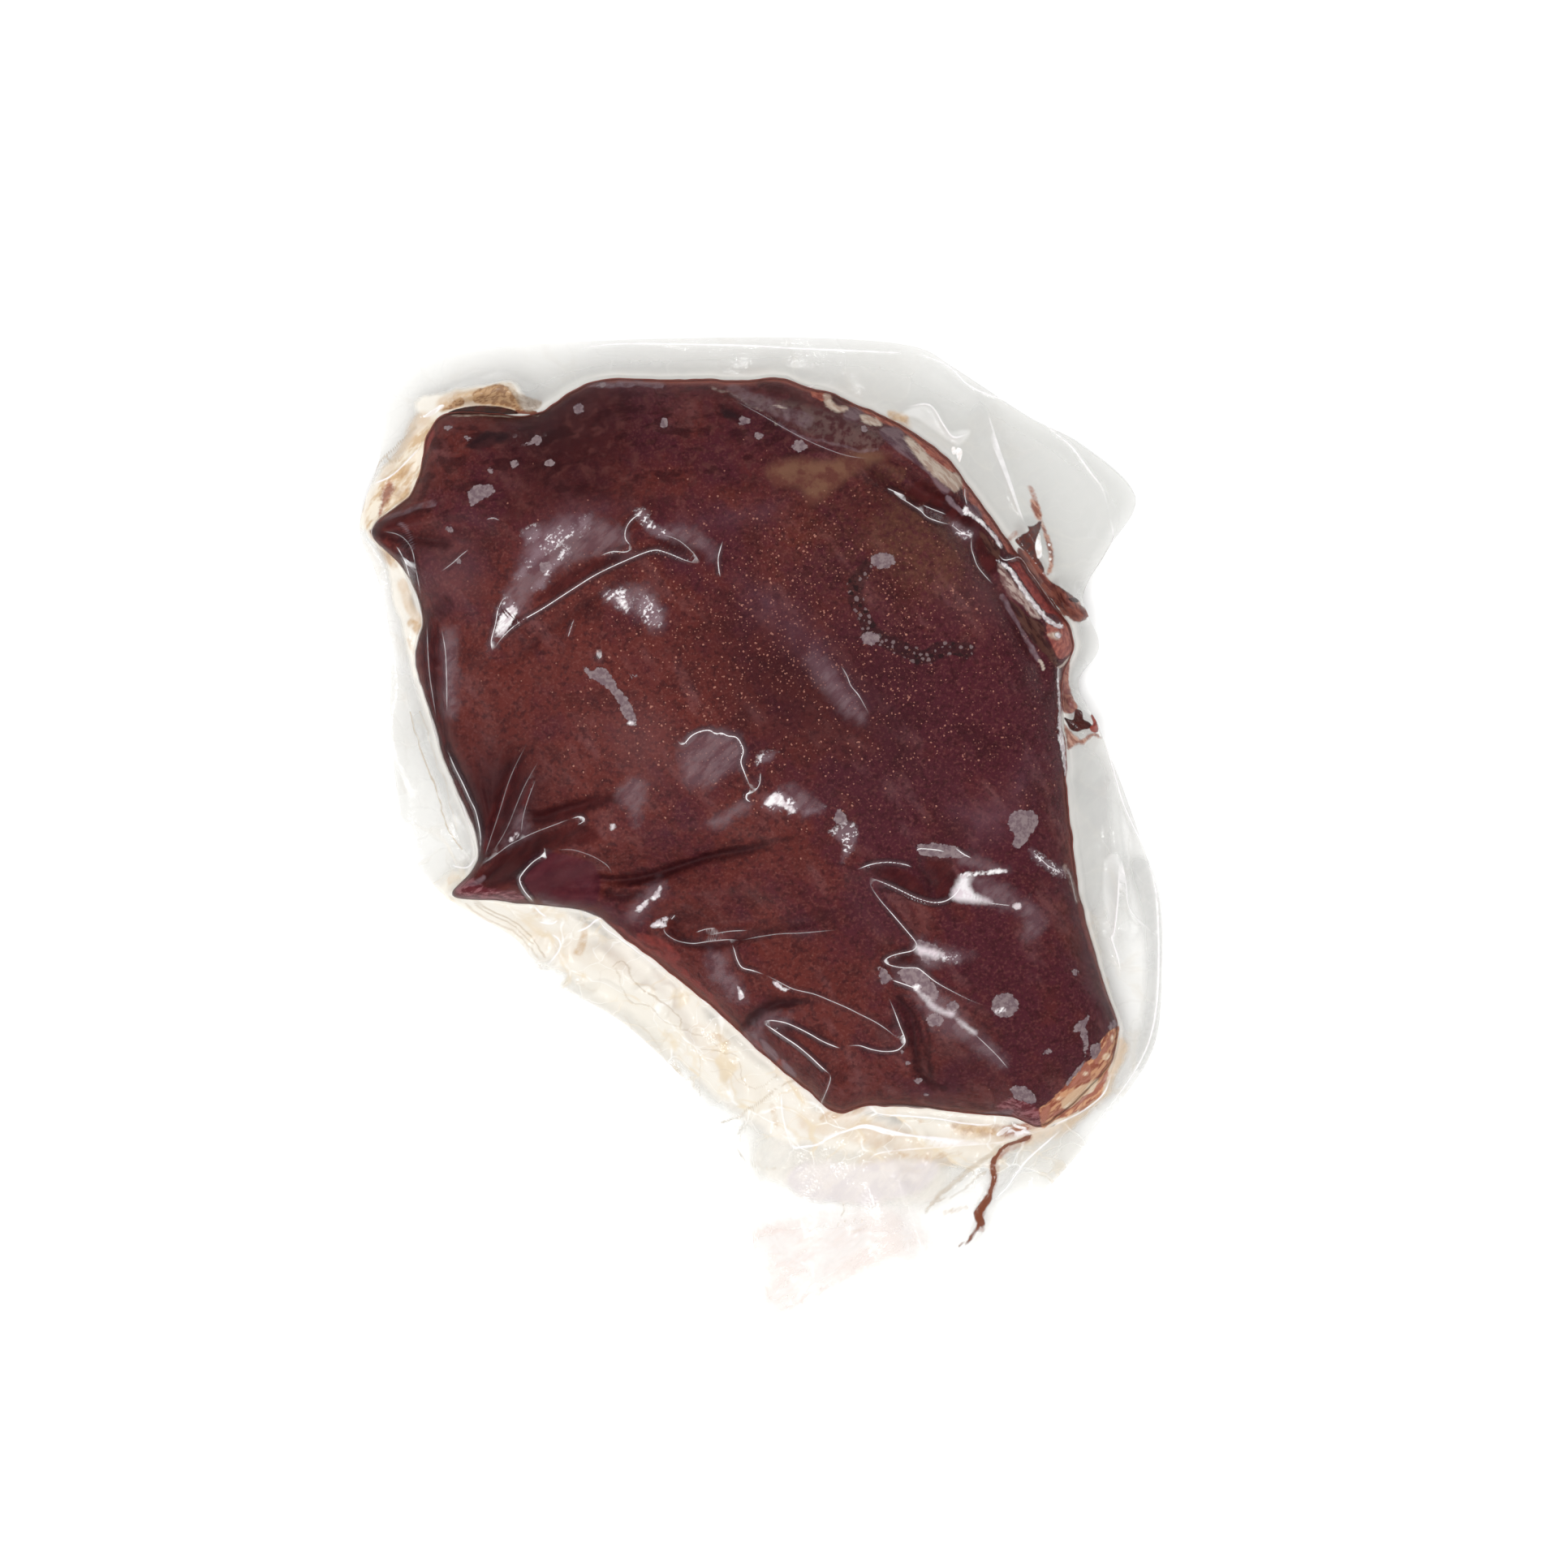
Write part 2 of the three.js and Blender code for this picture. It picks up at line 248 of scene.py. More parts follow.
furrows = [                              # line, half width, depth: folds that the film dips into
    ([(-81.5, 36), (-79.5, 27), (-76, 19), (-72, 10), (-69.5, 2), (-68.5, -3)], 2.6, 1.6),
    ([(-67.5, 15), (-66.5, 8), (-67, 0), (-66.5, -5)], 1.0, 0.8),
    ([(-60, 22.5), (-62, 15.5), (-65, 6), (-67, 0)], 1.8, 1.6),
    ([(-58.5, 8.5), (-60, 3), (-62.5, -2)], 1.2, 1.2),
    ([(-57, 7), (-53.5, 7), (-48, 9), (-41.5, 10.5), (-34.5, 12)], 1.5, 1.6),
    ([(-68, -9), (-62, -6.5), (-57, -2.5), (-53, -1.5)], 2.6, 1.8),
    ([(-39.5, -8.5), (-31.5, -8.5), (-23.5, -6.5), (-13.5, -3), (-3.5, -1), (8, 1.5)], 1.3, 1.5),
    ([(-39, -10), (-35, -12.5), (-26, -11)], 1.6, 1.2),
    ([(-21.5, -20), (-18.5, -23.5), (-11.5, -24.5), (-3.5, -22.5), (7, -20), (20, -17)], 1.1, 1.1),
    ([(-4.5, -45), (-0.5, -41), (4.5, -38.5), (11.5, -37.5)], 1.8, 1.6),
    ([(37, -43.5), (38, -50.5), (39.5, -56), (43.5, -59.5)], 1.5, 1.2),
    ([(31.5, -36.5), (36.5, -41), (37, -47.5)], 1.6, 1.0),
    ([(38.5, -5.5), (41, -9), (41, -12.5)], 1.6, 1.0),
    ([(-62, 44), (-52, 52), (-40, 60.5), (-28, 68)], 1.5, 0.8),
    ([(43.5, 85), (47.5, 83), (52.5, 77), (58.5, 69.5), (63, 63)], 1.8, 1.6),
    ([(-90, 75.5), (-82, 75), (-74, 73)], 1.6, 1.2),
]

# Creases of the film: a sharp crest that falls off evenly to both sides and runs out at both ends.
crest = {"round": 0.12, "reach": 6.0, "gather": 2.4, "power": 2.2, "far": 3.0}


def runOut(share):                       # thins out to nothing at both ends
    return smoothRamp(share * 5) * smoothRamp((1 - share) * 5)


def crestHeight(distance, share, width, height, *_):
    return height * np.exp((crest["round"] - np.hypot(distance, crest["round"])) / width) * runOut(share)


def linesNear(lines, spots, reach):      # for each line, the places in reach and how they lie to it
    for line, *values in lines:
        path = splineLine(line)
        near = aroundLine(path, spots.x, spots.y, reach * max(1, values[0]))
        if near.any():
            yield near, nearestOnLine(path, spots.x[near], spots.y[near]), values


def nearestCrest(lines, spots, far):     # distance to the nearest crest, the strength of its painted highlight, its nearest place
    away, white = np.full(np.shape(spots.x), far), np.zeros(np.shape(spots.x))
    toX, toY = spots.x.copy(), spots.y.copy()
    for near, (distance, share, footX, footY), (*_, highlightStrength) in linesNear(lines, spots, far):
        closer = distance < away[near]
        found = ((away, distance), (white, highlightStrength * runOut(share)), (toX, footX), (toY, footY))
        for field, value in found:
            field[near] = np.where(closer, value, field[near])
    return away, white, toX, toY


def crestFields(lines, spots):
    return dict(zip(("crestAway", "crestHighlight"), nearestCrest(lines, spots, crest["far"])))


def softFade(distance, share, width, strength):      # fades evenly to its sides and ends
    return strength * bell(distance / width) * runOut(share)


def markStrength(distance, share, width, strength):   # full in the inner half of its width, none at its edge
    return strength * np.clip(2 - 2 * distance / width, 0, 1)


wander = {"cell": 4.5, "shift": 300, "seeds": (71, 75)}


def wandered(spots, amount):             # the same places pushed about, so that marks come out ragged
    x, y = spots.x + wander["shift"], spots.y + wander["shift"]
    pushX, pushY = [amount * cloudNoise(x, y, wander["cell"], seed) for seed in wander["seeds"]]
    return SimpleNamespace(x=spots.x + pushX, y=spots.y + pushY)


def overLines(lines, spots, shape):      # the greatest of what the lines give at each place
    total = np.zeros(np.shape(spots.x))
    for near, (distance, share, *_), values in linesNear(lines, spots, crest["reach"]):
        total[near] = np.maximum(total[near], shape(distance, share, *values))
    return total


farOutside = 3.0                         # mm beyond an outline from which on a place has nothing of its patch


def insideBy(outlines, dots, spots):     # mm inside the nearest outline or dot, less than 0 outside them
    deepest = np.full(np.shape(spots.x), -farOutside)
    for outline in outlines:
        path = splineLoop(outline, 5)
        near = aroundLine(path, spots.x, spots.y, farOutside)
        if near.any():
            x, y, closed = spots.x[near], spots.y[near], np.vstack([path, path[:1]])
            within = np.zeros(x.shape, bool)
            for (ax, ay), (bx, by) in zip(closed, closed[1:]):
                if ay != by:
                    within ^= ((ay > y) != (by > y)) & (x < ax + (bx - ax) * (y - ay) / (by - ay))
            distance = nearestOnLine(closed, x, y)[0]
            deepest[near] = np.maximum(deepest[near], np.where(within, distance, -distance))
    for x, y, wide, high in dots:
        share = 1 - np.hypot((spots.x - x) / wide, (spots.y - y) / high)
        deepest = np.maximum(deepest, share * min(wide, high))
    return deepest


def patchFields(patches, spots):         # counted from far outside, so that no value means no patch
    return {name: farOutside + insideBy(kind["outlines"], kind.get("dots", []), spots)
            for name, kind in patches.items()}


def gathered(lines, spots, freedom):     # draws the grid in to the nearest crest, so that it comes out sharp
    away, _, toX, toY = nearestCrest(lines, spots, crest["gather"])
    pull = (1 - (away / crest["gather"]) ** (crest["power"] - 1)) * freedom
    return spotsThrough(spots.x + (toX - spots.x) * pull, spots.y + (toY - spots.y) * pull)


def discGrid(cells, crowding):           # a square grid bent into rings, with even cells up to the rim
    side = np.linspace(-1, 1, cells + 1)
    u, v = np.meshgrid(side, side, indexing="ij")
    wide = np.abs(u) >= np.abs(v)
    large, small = np.where(wide, u, v), np.where(wide, v, u)
    ratio = np.divide(small, large, out=np.zeros_like(u), where=large != 0)
    angle = np.where(wide, ratio, 2 - ratio) * np.pi / 4 + np.where(large < 0, np.pi, 0)
    share = (1 - np.abs(large)) ** crowding
    number = np.arange(u.size).reshape(u.shape)
    quads = np.stack([number[:-1, :-1], number[1:, :-1], number[1:, 1:], number[:-1, 1:]], -1).reshape(-1, 4)
    border = np.concatenate([number[:-1, 0], number[-1, :-1], number[:0:-1, -1], number[0, :0:-1]])
    return angle, share, quads, border


def ringQuads(outer, inner):             # faces between two closed rings that run anticlockwise
    return np.stack([outer, np.roll(outer, -1), np.roll(inner, -1), inner], 1)


def fanTo(ring, tip):                    # triangles from a closed ring to one point
    return np.stack([np.roll(ring, -1), ring, np.full(len(ring), tip)], 1).tolist()


def newObject(name, data):
    made = bpy.data.objects.new(name, data)
    bpy.context.scene.collection.objects.link(made)
    return made


def newPiece(name, points, faces, fields, material, nodes):
    mesh = bpy.data.meshes.new(name)
    mesh.from_pydata(points.tolist(), [], faces)
    mesh.shade_smooth()
    for field, values in fields.items():
        padded = np.zeros(len(points), np.float32)
        padded[:np.size(values)] = np.ravel(values)
        mesh.attributes.new(field, "FLOAT", "POINT").data.foreach_set("value", padded)
    mesh.materials.append(material)
    piece = newObject(name, mesh)
    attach(piece, "root")
    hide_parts(*nodes)
    print("made", name, len(mesh.polygons), "faces")


# Shader maths: a Wire is one node output, and its operators add Math nodes.
class Wire:
    def __init__(self, paint, socket):
        self.paint, self.socket = paint, socket

    def maths(self, operation, first, second):
        return self.paint.add("ShaderNodeMath", {"operation": operation}, {0: first, 1: second})

    def __add__(self, other): return self.maths("ADD", self, other)
    def __radd__(self, other): return self.maths("ADD", other, self)
    def __sub__(self, other): return self.maths("SUBTRACT", self, other)
    def __rsub__(self, other): return self.maths("SUBTRACT", other, self)
    def __mul__(self, other): return self.maths("MULTIPLY", self, other)
    def __rmul__(self, other): return self.maths("MULTIPLY", other, self)
    def __truediv__(self, other): return self.maths("DIVIDE", self, other)
    def atMost(self, limit): return self.maths("MINIMUM", self, limit)


class Paint:
    def __init__(self, name):
        self.material = bpy.data.materials.new(name)
        self.material.use_nodes = True
        self.tree = self.material.node_tree
        self.tree.nodes.clear()
        self.place = self.add("ShaderNodeTexCoord", output="Object")
        self.made = {}                   # noises made so far, so that equal ones are shared

    def add(self, kind, settings=None, sockets=None, output=0):   # settings first, then values or wires
        node = self.tree.nodes.new(kind)
        for key, value in (settings or {}).items():
            setattr(node, key, value)
        for key, value in (sockets or {}).items():
            if isinstance(value, Wire):
                self.tree.links.new(value.socket, node.inputs[key])
            else:
                node.inputs[key].default_value = value
        return Wire(self, node.outputs[output])

    def field(self, name):
        return self.add("ShaderNodeAttribute", {"attribute_name": name}, output="Fac")

    def noise(self, size, detail=3.0, roughness=0.5):     # size is the width of its blotches in mm
        if (size, detail) not in self.made:
            sockets = {"Vector": self.place, "Scale": 1000 / size, "Detail": detail, "Roughness": roughness}
            self.made[size, detail] = self.add("ShaderNodeTexNoise", None, sockets)
        return self.made[size, detail]

    def cells(self, size, output):       # cells of this many mm: distance to their middles, or a colour each
        return self.add("ShaderNodeTexVoronoi", None, {"Vector": self.place, "Scale": 1000 / size}, output)

    def drawnOut(self, stretch, turn):   # places drawn out along a direction in degrees from +X
        turned = self.add("ShaderNodeVectorRotate", {"rotation_type": "Z_AXIS"},
                          {"Vector": self.place, "Angle": math.radians(-turn)})
        return self.add("ShaderNodeMapping", None, {"Vector": turned, "Scale": (1 / stretch, 1, 1)})

    def streaks(self, size, stretch, turn):   # noise drawn out
        if (size, stretch, turn) not in self.made:
            drawn = self.drawnOut(stretch, turn)
            sockets = {"Vector": drawn, "Scale": 1000 / size, "Detail": 3.0, "Roughness": 0.6}
            self.made[size, stretch, turn] = self.add("ShaderNodeTexNoise", None, sockets)
        return self.made[size, stretch, turn]

    def facets(self, size, turn):        # crumpled facets: a shade each, distance to their edges
        uneven = self.add("ShaderNodeTexNoise", None, {"Vector": self.place, "Scale": 1000 / size}, "Color")
        bent = self.add("ShaderNodeVectorMath", {"operation": "MULTIPLY_ADD"},
                        {0: uneven, 1: (0.0008 * size,) * 3, 2: self.drawnOut(2, turn)})
        sockets = {"Vector": bent, "Scale": 1000 / size}
        return (self.add("ShaderNodeTexVoronoi", None, sockets, "Color"),
                self.add("ShaderNodeTexVoronoi", {"feature": "DISTANCE_TO_EDGE"}, sockets, "Distance"))

    def band(self, value, low, high):    # eased from 0 at low to 1 at high
        sockets = {"Value": value, "From Min": low, "From Max": high}
        return self.add("ShaderNodeMapRange", {"interpolation_type": "SMOOTHSTEP"}, sockets)

    def mix(self, factor, one, two):     # colour from one to two
        return self.add("ShaderNodeMix", {"data_type": "RGBA"}, {0: factor, 6: one, 7: two}, 2)

    def blend(self, factor, one, two):   # shader from one to two
        return self.add("ShaderNodeMixShader", None, {0: factor, 1: one, 2: two})

    def finish(self, shader):
        output = self.tree.nodes.new("ShaderNodeOutputMaterial")
        self.tree.links.new(shader.socket, output.inputs["Surface"])
        return self.material


plainPatch = {"most": 0.9, "soft": 0.3, "ragged": 1.0, "grain": 1.2, "turn": 45}    # where a patch has none


def patchOf(paint, name, own):           # share and colour of a patch: ragged edges, two colours in streaks
    kind = {**plainPatch, **own}
    colours = [seen(*levels) for levels in kind["colours"]]
    uneven = (paint.noise(kind["grain"], 4.0, 0.6) - 0.5) * kind["ragged"]
    low, high = farOutside - kind["soft"], farOutside + kind.get("deep", kind["soft"])
    share = paint.band(paint.field(name) + uneven, low, high) * kind["most"]
    if "specks" in kind:                 # fine bright specks in a fainter haze, which takes up this share
        pattern = paint.noise(0.7) * 0.5 + paint.streaks(1.2, 3.0, 45) * 0.6 + paint.noise(5.0, 4.0) * 0.4
        specks = paint.band(pattern, 0.77, 0.88)
        return share * (kind["specks"] + (1 - kind["specks"]) * specks), paint.mix(specks, *colours)
    even = kind["turn"] is None
    pattern = paint.noise(kind["grain"], 4.0) if even else paint.streaks(kind["grain"], 3.0, kind["turn"])
    return share, paint.mix(paint.band(pattern, 0.42, 0.6), *colours)


def patchesOf(paint, patches):
    return [patchOf(paint, name, kind) for name, kind in patches.items()]


lightLevel = 1.25                        # how much brighter than plain white the studio shows a white surface


def seen(red, green, blue):              # the colour that shows on a screen as these levels of 0 to 255
    screen = np.array([red, green, blue]) / 255
    light = np.where(screen < 0.04045, screen / 12.92, ((screen + 0.055) / 1.055) ** 2.4)
    return (*(light / lightLevel).tolist(), 1.0)


# The liver.
liver = {
    "cells": 298, "crowding": 1.25, "bellyShares": [0.01, 0.03, 0.06, 0.1, 0.16, 0.35, 0.65],
    "brown": seen(95, 41, 37), "purple": seen(75, 31, 40), "deep": seen(50, 19, 23),
    # The lilac haze colour is painted sheen of light on the film over the flesh.
    "olive": seen(88, 56, 40), "sheenHaze": seen(124, 88, 92), "light": seen(132, 80, 74),
    # The furrow colour is painted shade along the furrows; the dark colour is both the flesh's dark mottling
    # and painted shade in folds.
    "dark": seen(42, 13, 17), "furrow": seen(46, 15, 19), "rosy": seen(134, 58, 54),
    "pale": seen(196, 180, 168), "lilac": seen(138, 118, 126), "tan": seen(124, 84, 64),
    "speckle": seen(128, 76, 66), "speckleBright": seen(196, 140, 124), "margin": seen(178, 96, 82),
    "frothGrey": seen(124, 106, 108), "frothDark": seen(38, 24, 26),
}
tones = [                                # x, y, reach, and how far the flesh is darkened (below 0) or mixed towards the painted lilac sheen (above 0)
    (-47, 96, 26, -0.6), (-63, 18, 14, -0.4), (-7, 48, 22, -0.35), (12, 38, 20, -0.5), (32, 28, 20, -0.3),
    (-17, -21, 12, -0.3), (52, -52, 16, -0.4), (32, 80, 12, -0.4), (5, 105, 16, -0.4), (-75, 68, 12, 0.5),
    (-27, 28, 14, 0.4), (52, 60, 10, 0.3), (-64, 10, 11, -0.7), (-58, -4, 9, -0.6), (-48, 104, 14, -0.5),
]
margins = [                              # direction in degrees, how much of the rim shows paler
    (0, 0.4), (30, 0.7), (60, 1), (110, 0.9), (125, 0.3), (150, 0.1), (215, 0.1), (230, 0.5), (300, 0.5),
    (330, 0.6), (360, 0.4),
]
liverPatches = {                         # parts of other colours, painted fold shade and some painted sheen, each drawn by its outline
    "tanPatch": {"colours": ((120, 84, 66), (100, 58, 50)), "most": 0.8, "soft": 1.6, "ragged": 4.0,
        "grain": 5.0, "turn": None, "outlines": [
        [(1.4, 91.9), (8.1, 94.6), (16.9, 94.2), (24.7, 97), (31.4, 95.2), (24.7, 91.9), (18.1, 87.5),
         (12.5, 83.5), (9.2, 87.5), (3.6, 88.5)],
    ]},
    # painted shade in folds and in the dark bands beside crests
    "foldShade": {"colours": ((56, 18, 20), (74, 26, 26)), "most": 0.75, "soft": 0.8, "ragged": 1.5,
        "grain": 2.4, "outlines": [
        [(46, 84.3), (50, 80.7), (55, 75.7), (58.5, 70.5), (57, 66), (52.7, 70), (52.3, 76), (47, 79.5),
         (40, 83), (36, 87), (40, 89.5), (43, 87)],
        [(17, 111), (20, 110.5), (22.5, 109.7), (22, 108), (20, 108.5), (17.5, 109.5)],
        [(-95, 78.8), (-90, 80.5), (-86, 81.5), (-82.5, 81.5), (-85, 79), (-89, 77.8)],
        [(26.5, -6), (34, -5.5), (38, -8), (41, -12.5), (37, -12), (31, -9)],
        [(40, -4), (46, -4.5), (48, -8), (47, -11.5), (43.5, -13), (42, -9)],
        [(30.5, -27.8), (34, -27), (38, -26.5), (40, -29), (35, -29)],
        [(-55, 60), (-50, 64.5), (-45, 67.5), (-38, 70.3), (-33, 71), (-36, 69), (-44, 65), (-50, 61)],
        [(-26, 75.5), (-20, 75), (-15, 72.5), (-12.5, 70.5), (-14.5, 69.5), (-18, 71), (-24, 73)],
        [(-69, -2), (-67.5, 6), (-65, 13), (-61, 20), (-58.5, 23), (-59, 15), (-60.5, 8), (-61.5, 2),
         (-65, -1.5)],
        [(-56, 7.2), (-50, 8.8), (-44, 10.8), (-36, 13.2), (-33, 13), (-39, 9.5), (-46, 6.8), (-52, 5.6)],
        [(-70.3, -7.7), (-65, -3.5), (-61.2, -0.2), (-53.7, 2.6), (-43.8, 5.6), (-39.3, 2.1),
         (-50.6, -0.9), (-58.2, -5.5), (-64.2, -10), (-68, -12)],
    ]},
    "blackBlotch": {"colours": ((38, 20, 24), (58, 30, 32)), "most": 0.85, "soft": 0.6, "ragged": 2.0,
        "grain": 2.4, "outlines": [
        [(-72, 98), (-70, 100), (-67, 101.5), (-64, 101), (-61.5, 101.8), (-61.5, 99.5), (-65, 98.5),
         (-68, 97.2), (-71, 97.3)],
        [(-10, 107), (-7, 106.5), (-5, 104.8), (-7, 104.5), (-9.5, 105.5)],
    ]},
    "purplePatch": {"colours": ((72, 26, 38), (84, 34, 44)), "most": 0.75, "soft": 0.5, "ragged": 0.8,
        "grain": 2.4, "outlines": [
        [(-58, -5), (-54, -1.5), (-50, -1.8), (-45, -2.8), (-41, -4.5), (-39.5, -8), (-39.5, -11),
         (-41, -14.5), (-46, -15.5), (-53, -14), (-57, -11.5)],
    ]},
    "rosyRim": {"colours": ((176, 100, 80), (136, 64, 54)), "soft": 0.25, "ragged": 0.8, "turn": -50,
        "outlines": [
        [(22, 108), (25, 108.6), (30, 106.2), (35, 103), (40, 99.5), (45, 94.8), (48.5, 92.3), (47, 91.5),
         (45, 92.5), (42, 94.7), (39, 98), (36, 101), (33, 102.6), (30, 103.8), (27, 105.5), (24, 107.3)],
        [(12.5, 112), (14, 112.5), (15.5, 111.5), (15.5, 109), (14, 109.5), (12.5, 110.5)],
    ]},
    "salmon": {"colours": ((178, 104, 90), (142, 74, 68)), "most": 0.88, "soft": 0.25, "ragged": 0.7,
        "outlines": [
        [(49.5, 91.5), (50.5, 90.7), (52, 88), (55, 84.5), (58, 80.5), (60, 77.5), (62.3, 74), (63, 71.5),
         (61, 71.5), (60, 73), (58.5, 75.5), (56.5, 77.7), (54.5, 80), (53.5, 82.5), (51.5, 84),
         (50, 85.5), (49.3, 88.5)],
        [(70, 54.5), (71.5, 54), (74, 54.7), (75, 55), (76, 52.5), (77, 50), (76.8, 48.5), (75.5, 47),
         (73.5, 45.7), (72.5, 46.5), (71, 49.5), (70, 52)],
    ]},
    "cornerFold": {"colours": ((92, 34, 42), (150, 96, 102)), "most": 0.85, "soft": 0.6, "ragged": 1.8,
        "turn": 30, "outlines": [
        [(-75, -9.7), (-71.5, -8), (-67, -10.5), (-60, -11.5), (-57.5, -12.8), (-62, -13.5), (-70, -13.3),
         (-75, -11.5)],
        [(58, -64), (60, -62.5), (62.5, -61.8), (65, -62.5), (67, -63.7), (68.5, -66), (69.3, -69),
         (67, -69.5), (65, -67.4), (62, -66.4), (59, -65.8)],
    ]},
    "greyFilm": {"colours": ((104, 84, 80), (72, 40, 42)), "most": 0.65, "soft": 1.2, "ragged": 3.4,
        "grain": 2.4, "turn": None, "outlines": [
        [(-7, 110.5), (3.6, 109.6), (12, 108), (22, 104), (30, 99.5), (28, 97), (21.4, 96.5), (10.3, 101),
         (-0.8, 107.5)],
    ]},
    "leftSlit": {"colours": ((56, 12, 16), (82, 26, 26)), "most": 0.85, "soft": 0.5, "ragged": 0.9,
        "turn": -80, "outlines": [
        [(-82, 55.5), (-83.6, 50), (-83.4, 44), (-82, 38), (-80.8, 33), (-79.4, 27), (-78, 24.5),
         (-77, 26.5), (-76.8, 33), (-76.7, 40), (-76.9, 47), (-78.2, 52), (-80, 56)],
        [(-78.5, 25), (-75.8, 19.5), (-73.8, 15.5), (-72, 11.5), (-70.4, 8), (-69.4, 2), (-69.8, -3),
         (-71.2, 0), (-72.7, 4), (-74.4, 9), (-76.4, 15), (-78.6, 21)],
        [(-68.5, -3), (-66.5, 1.5), (-64.6, 7), (-62, 13), (-58.5, 20), (-60, 19), (-63.5, 12.5),
         (-66, 7.5), (-68, 2)],
        [(-61.5, 2), (-60, 7), (-57.5, 13), (-55.4, 17), (-55.6, 14), (-57.6, 8.5), (-58, 5), (-60, 2.5)],
    ]},
    "tubeRed": {"colours": ((150, 66, 60), (116, 44, 44)), "most": 0.95, "soft": 0.15, "ragged": 0.3,
        "outlines": [
        [(60.5, 69.5), (63, 70.3), (64.5, 69.3), (66, 66.8), (68, 64), (70, 61), (72, 58), (74, 56),
         (72, 56.8), (70, 57.2), (68, 59.3), (66, 61.9), (64, 64.9), (62, 67.8)],
    ]},
    "tubeGrey": {"colours": ((118, 86, 84), (182, 162, 154)), "soft": 0.4, "turn": -50, "outlines": [
        [(58, 69), (59.5, 68), (61.5, 65.5), (63.5, 62.5), (66, 60), (68.5, 57.5), (69.5, 56),
         (68.5, 55.5), (66, 56.5), (64.5, 58.5), (62.5, 60), (60.5, 61.5), (59.5, 63.5), (58.5, 66)],
    ]},
    "oliveFold": {"colours": ((86, 56, 48), (54, 28, 28)), "ragged": 0.8, "turn": -50, "outlines": [
        [(60, 61), (62, 59.5), (64, 57.5), (65.5, 56), (68, 55), (69.5, 53.5), (69.5, 51), (71, 49),
         (72.5, 46), (73.5, 44.5), (72.5, 44), (70, 46.5), (68, 48.5), (66, 50.5), (64, 53.5), (62, 57)],
        [(53.5, 77), (55, 76), (58.5, 72.5), (58.3, 70.2), (56.5, 71.5), (54.5, 74)],
    ]},
    # partly lilac-grey film over the flesh, partly painted sheen and a painted highlight streak
    "lilacFold": {"colours": ((124, 100, 106), (90, 62, 72)), "most": 0.8, "soft": 0.4, "ragged": 0.7,
        "grain": 2.4, "turn": -50, "outlines": [
        [(30, 102.5), (34, 102.6), (36, 99), (38, 95.2), (41, 92), (44, 88.7), (46.5, 87), (45, 86),
         (43, 88), (41, 90.8), (38, 93.3), (34, 96), (31, 98.5), (29, 101.3)],
        [(50, 85.5), (51, 83.7), (53, 83.2), (54.3, 80.7), (52.5, 80.7), (50.7, 82.5)],
        [(20.5, 106.5), (23, 108), (24, 107.5), (25.5, 105.7), (24, 104.6), (22, 104), (20.5, 104.6)],
        [(52, -66.3), (57, -65.4), (62, -64.8), (61.5, -66.3), (57, -67), (53, -67.3)],
        [(-54, -13.6), (-50, -14.4), (-46, -16), (-41, -16.6), (-41, -18.4), (-46, -17.4), (-52, -15.6)],
        [(-72.5, -9.8), (-70, -8.6), (-68, -7.3), (-67.6, -8), (-70, -9.8)],
        [(0, -47.6), (2, -49), (4.3, -52), (3.6, -53.6), (1, -51)],
        [(5.2, -52.6), (7, -54), (8.8, -56.6), (8, -57.4), (5.6, -55)],
    ]},
    "creamFat": {"colours": ((214, 196, 180), (186, 158, 142)), "soft": 0.5, "ragged": 1.4, "turn": -50,
        "outlines": [
        [(36.5, 100.2), (39.5, 97.5), (42, 95), (44.5, 93), (47, 91.6), (49, 90.8), (49.5, 89), (49, 87.5),
         (47.5, 86.7), (46, 87.7), (44.5, 88.7), (42.5, 90.3), (40, 92.8), (38, 95.3), (36.5, 97.5),
         (35, 100.3)],
        [(24.5, 105.5), (26.5, 105.6), (29, 104.3), (29.5, 103), (26.5, 103.2), (25, 103.8)],
        [(15.5, 111), (17, 111), (17.5, 109), (19, 108), (21.5, 107.5), (21, 106.6), (18, 106.6),
         (16, 108)],
        [(70.3, 51.5), (71.5, 52.3), (73.5, 52), (73.3, 50.8), (71.5, 50.7)],
    ]},
}
cornerPatches = {                        # tissue at the lower right corner, on liver and film
    "tissue": {"colours": ((210, 156, 118), (150, 80, 60)), "most": 0.93, "soft": 0.25, "outlines": [
        [(87, -44.7), (84.5, -46.5), (82.5, -49.5), (81, -52.3), (79, -53.5), (76.5, -56), (75, -58.5),
         (72.5, -61), (70, -63.3), (68.5, -64), (68.5, -66), (69.5, -69.7), (72, -67.8), (76, -66.7),
         (81, -63.7), (84.3, -61), (84.7, -57.5), (86.2, -53), (87.2, -49.5), (88.2, -44.5)],
    ]},
    "tissueRed": {"colours": ((142, 72, 62), (178, 116, 98)), "most": 0.8, "ragged": 1.2, "outlines": [
        [(79.5, -53), (81, -55), (80.5, -57.5), (77.5, -58.7), (75.5, -59.5), (77, -57)],
        [(86.8, -45.5), (85, -48), (83, -51), (81.6, -53.4), (82.4, -53.6), (84.4, -51), (86.6, -48)],
        [(70, -66.5), (74, -64.9), (79, -62.3), (83, -59.3), (85, -55.4), (85.6, -56.4), (83.8, -60.4),
         (79, -63.6), (74, -66)],
        [(68.8, -64.5), (71, -63.8), (70.5, -66.5), (69.6, -69.3), (68.8, -67)],
    ]},
    "tissueCream": {"colours": ((236, 220, 196), (214, 178, 146)), "most": 0.93, "grain": 2.4,
        "dots": [(84.8, -51.8, 1.0, 0.9), (79.5, -56, 0.9, 0.5), (73.5, -62, 0.9, 0.5),
        (86.3, -47.5, 0.4, 0.8)], "outlines": [
        [(74, -62.5), (77, -60), (80, -58.5), (83, -57.5), (82, -60.5), (79, -62), (76, -64.5),
         (74, -64.5)],
    ]},
}
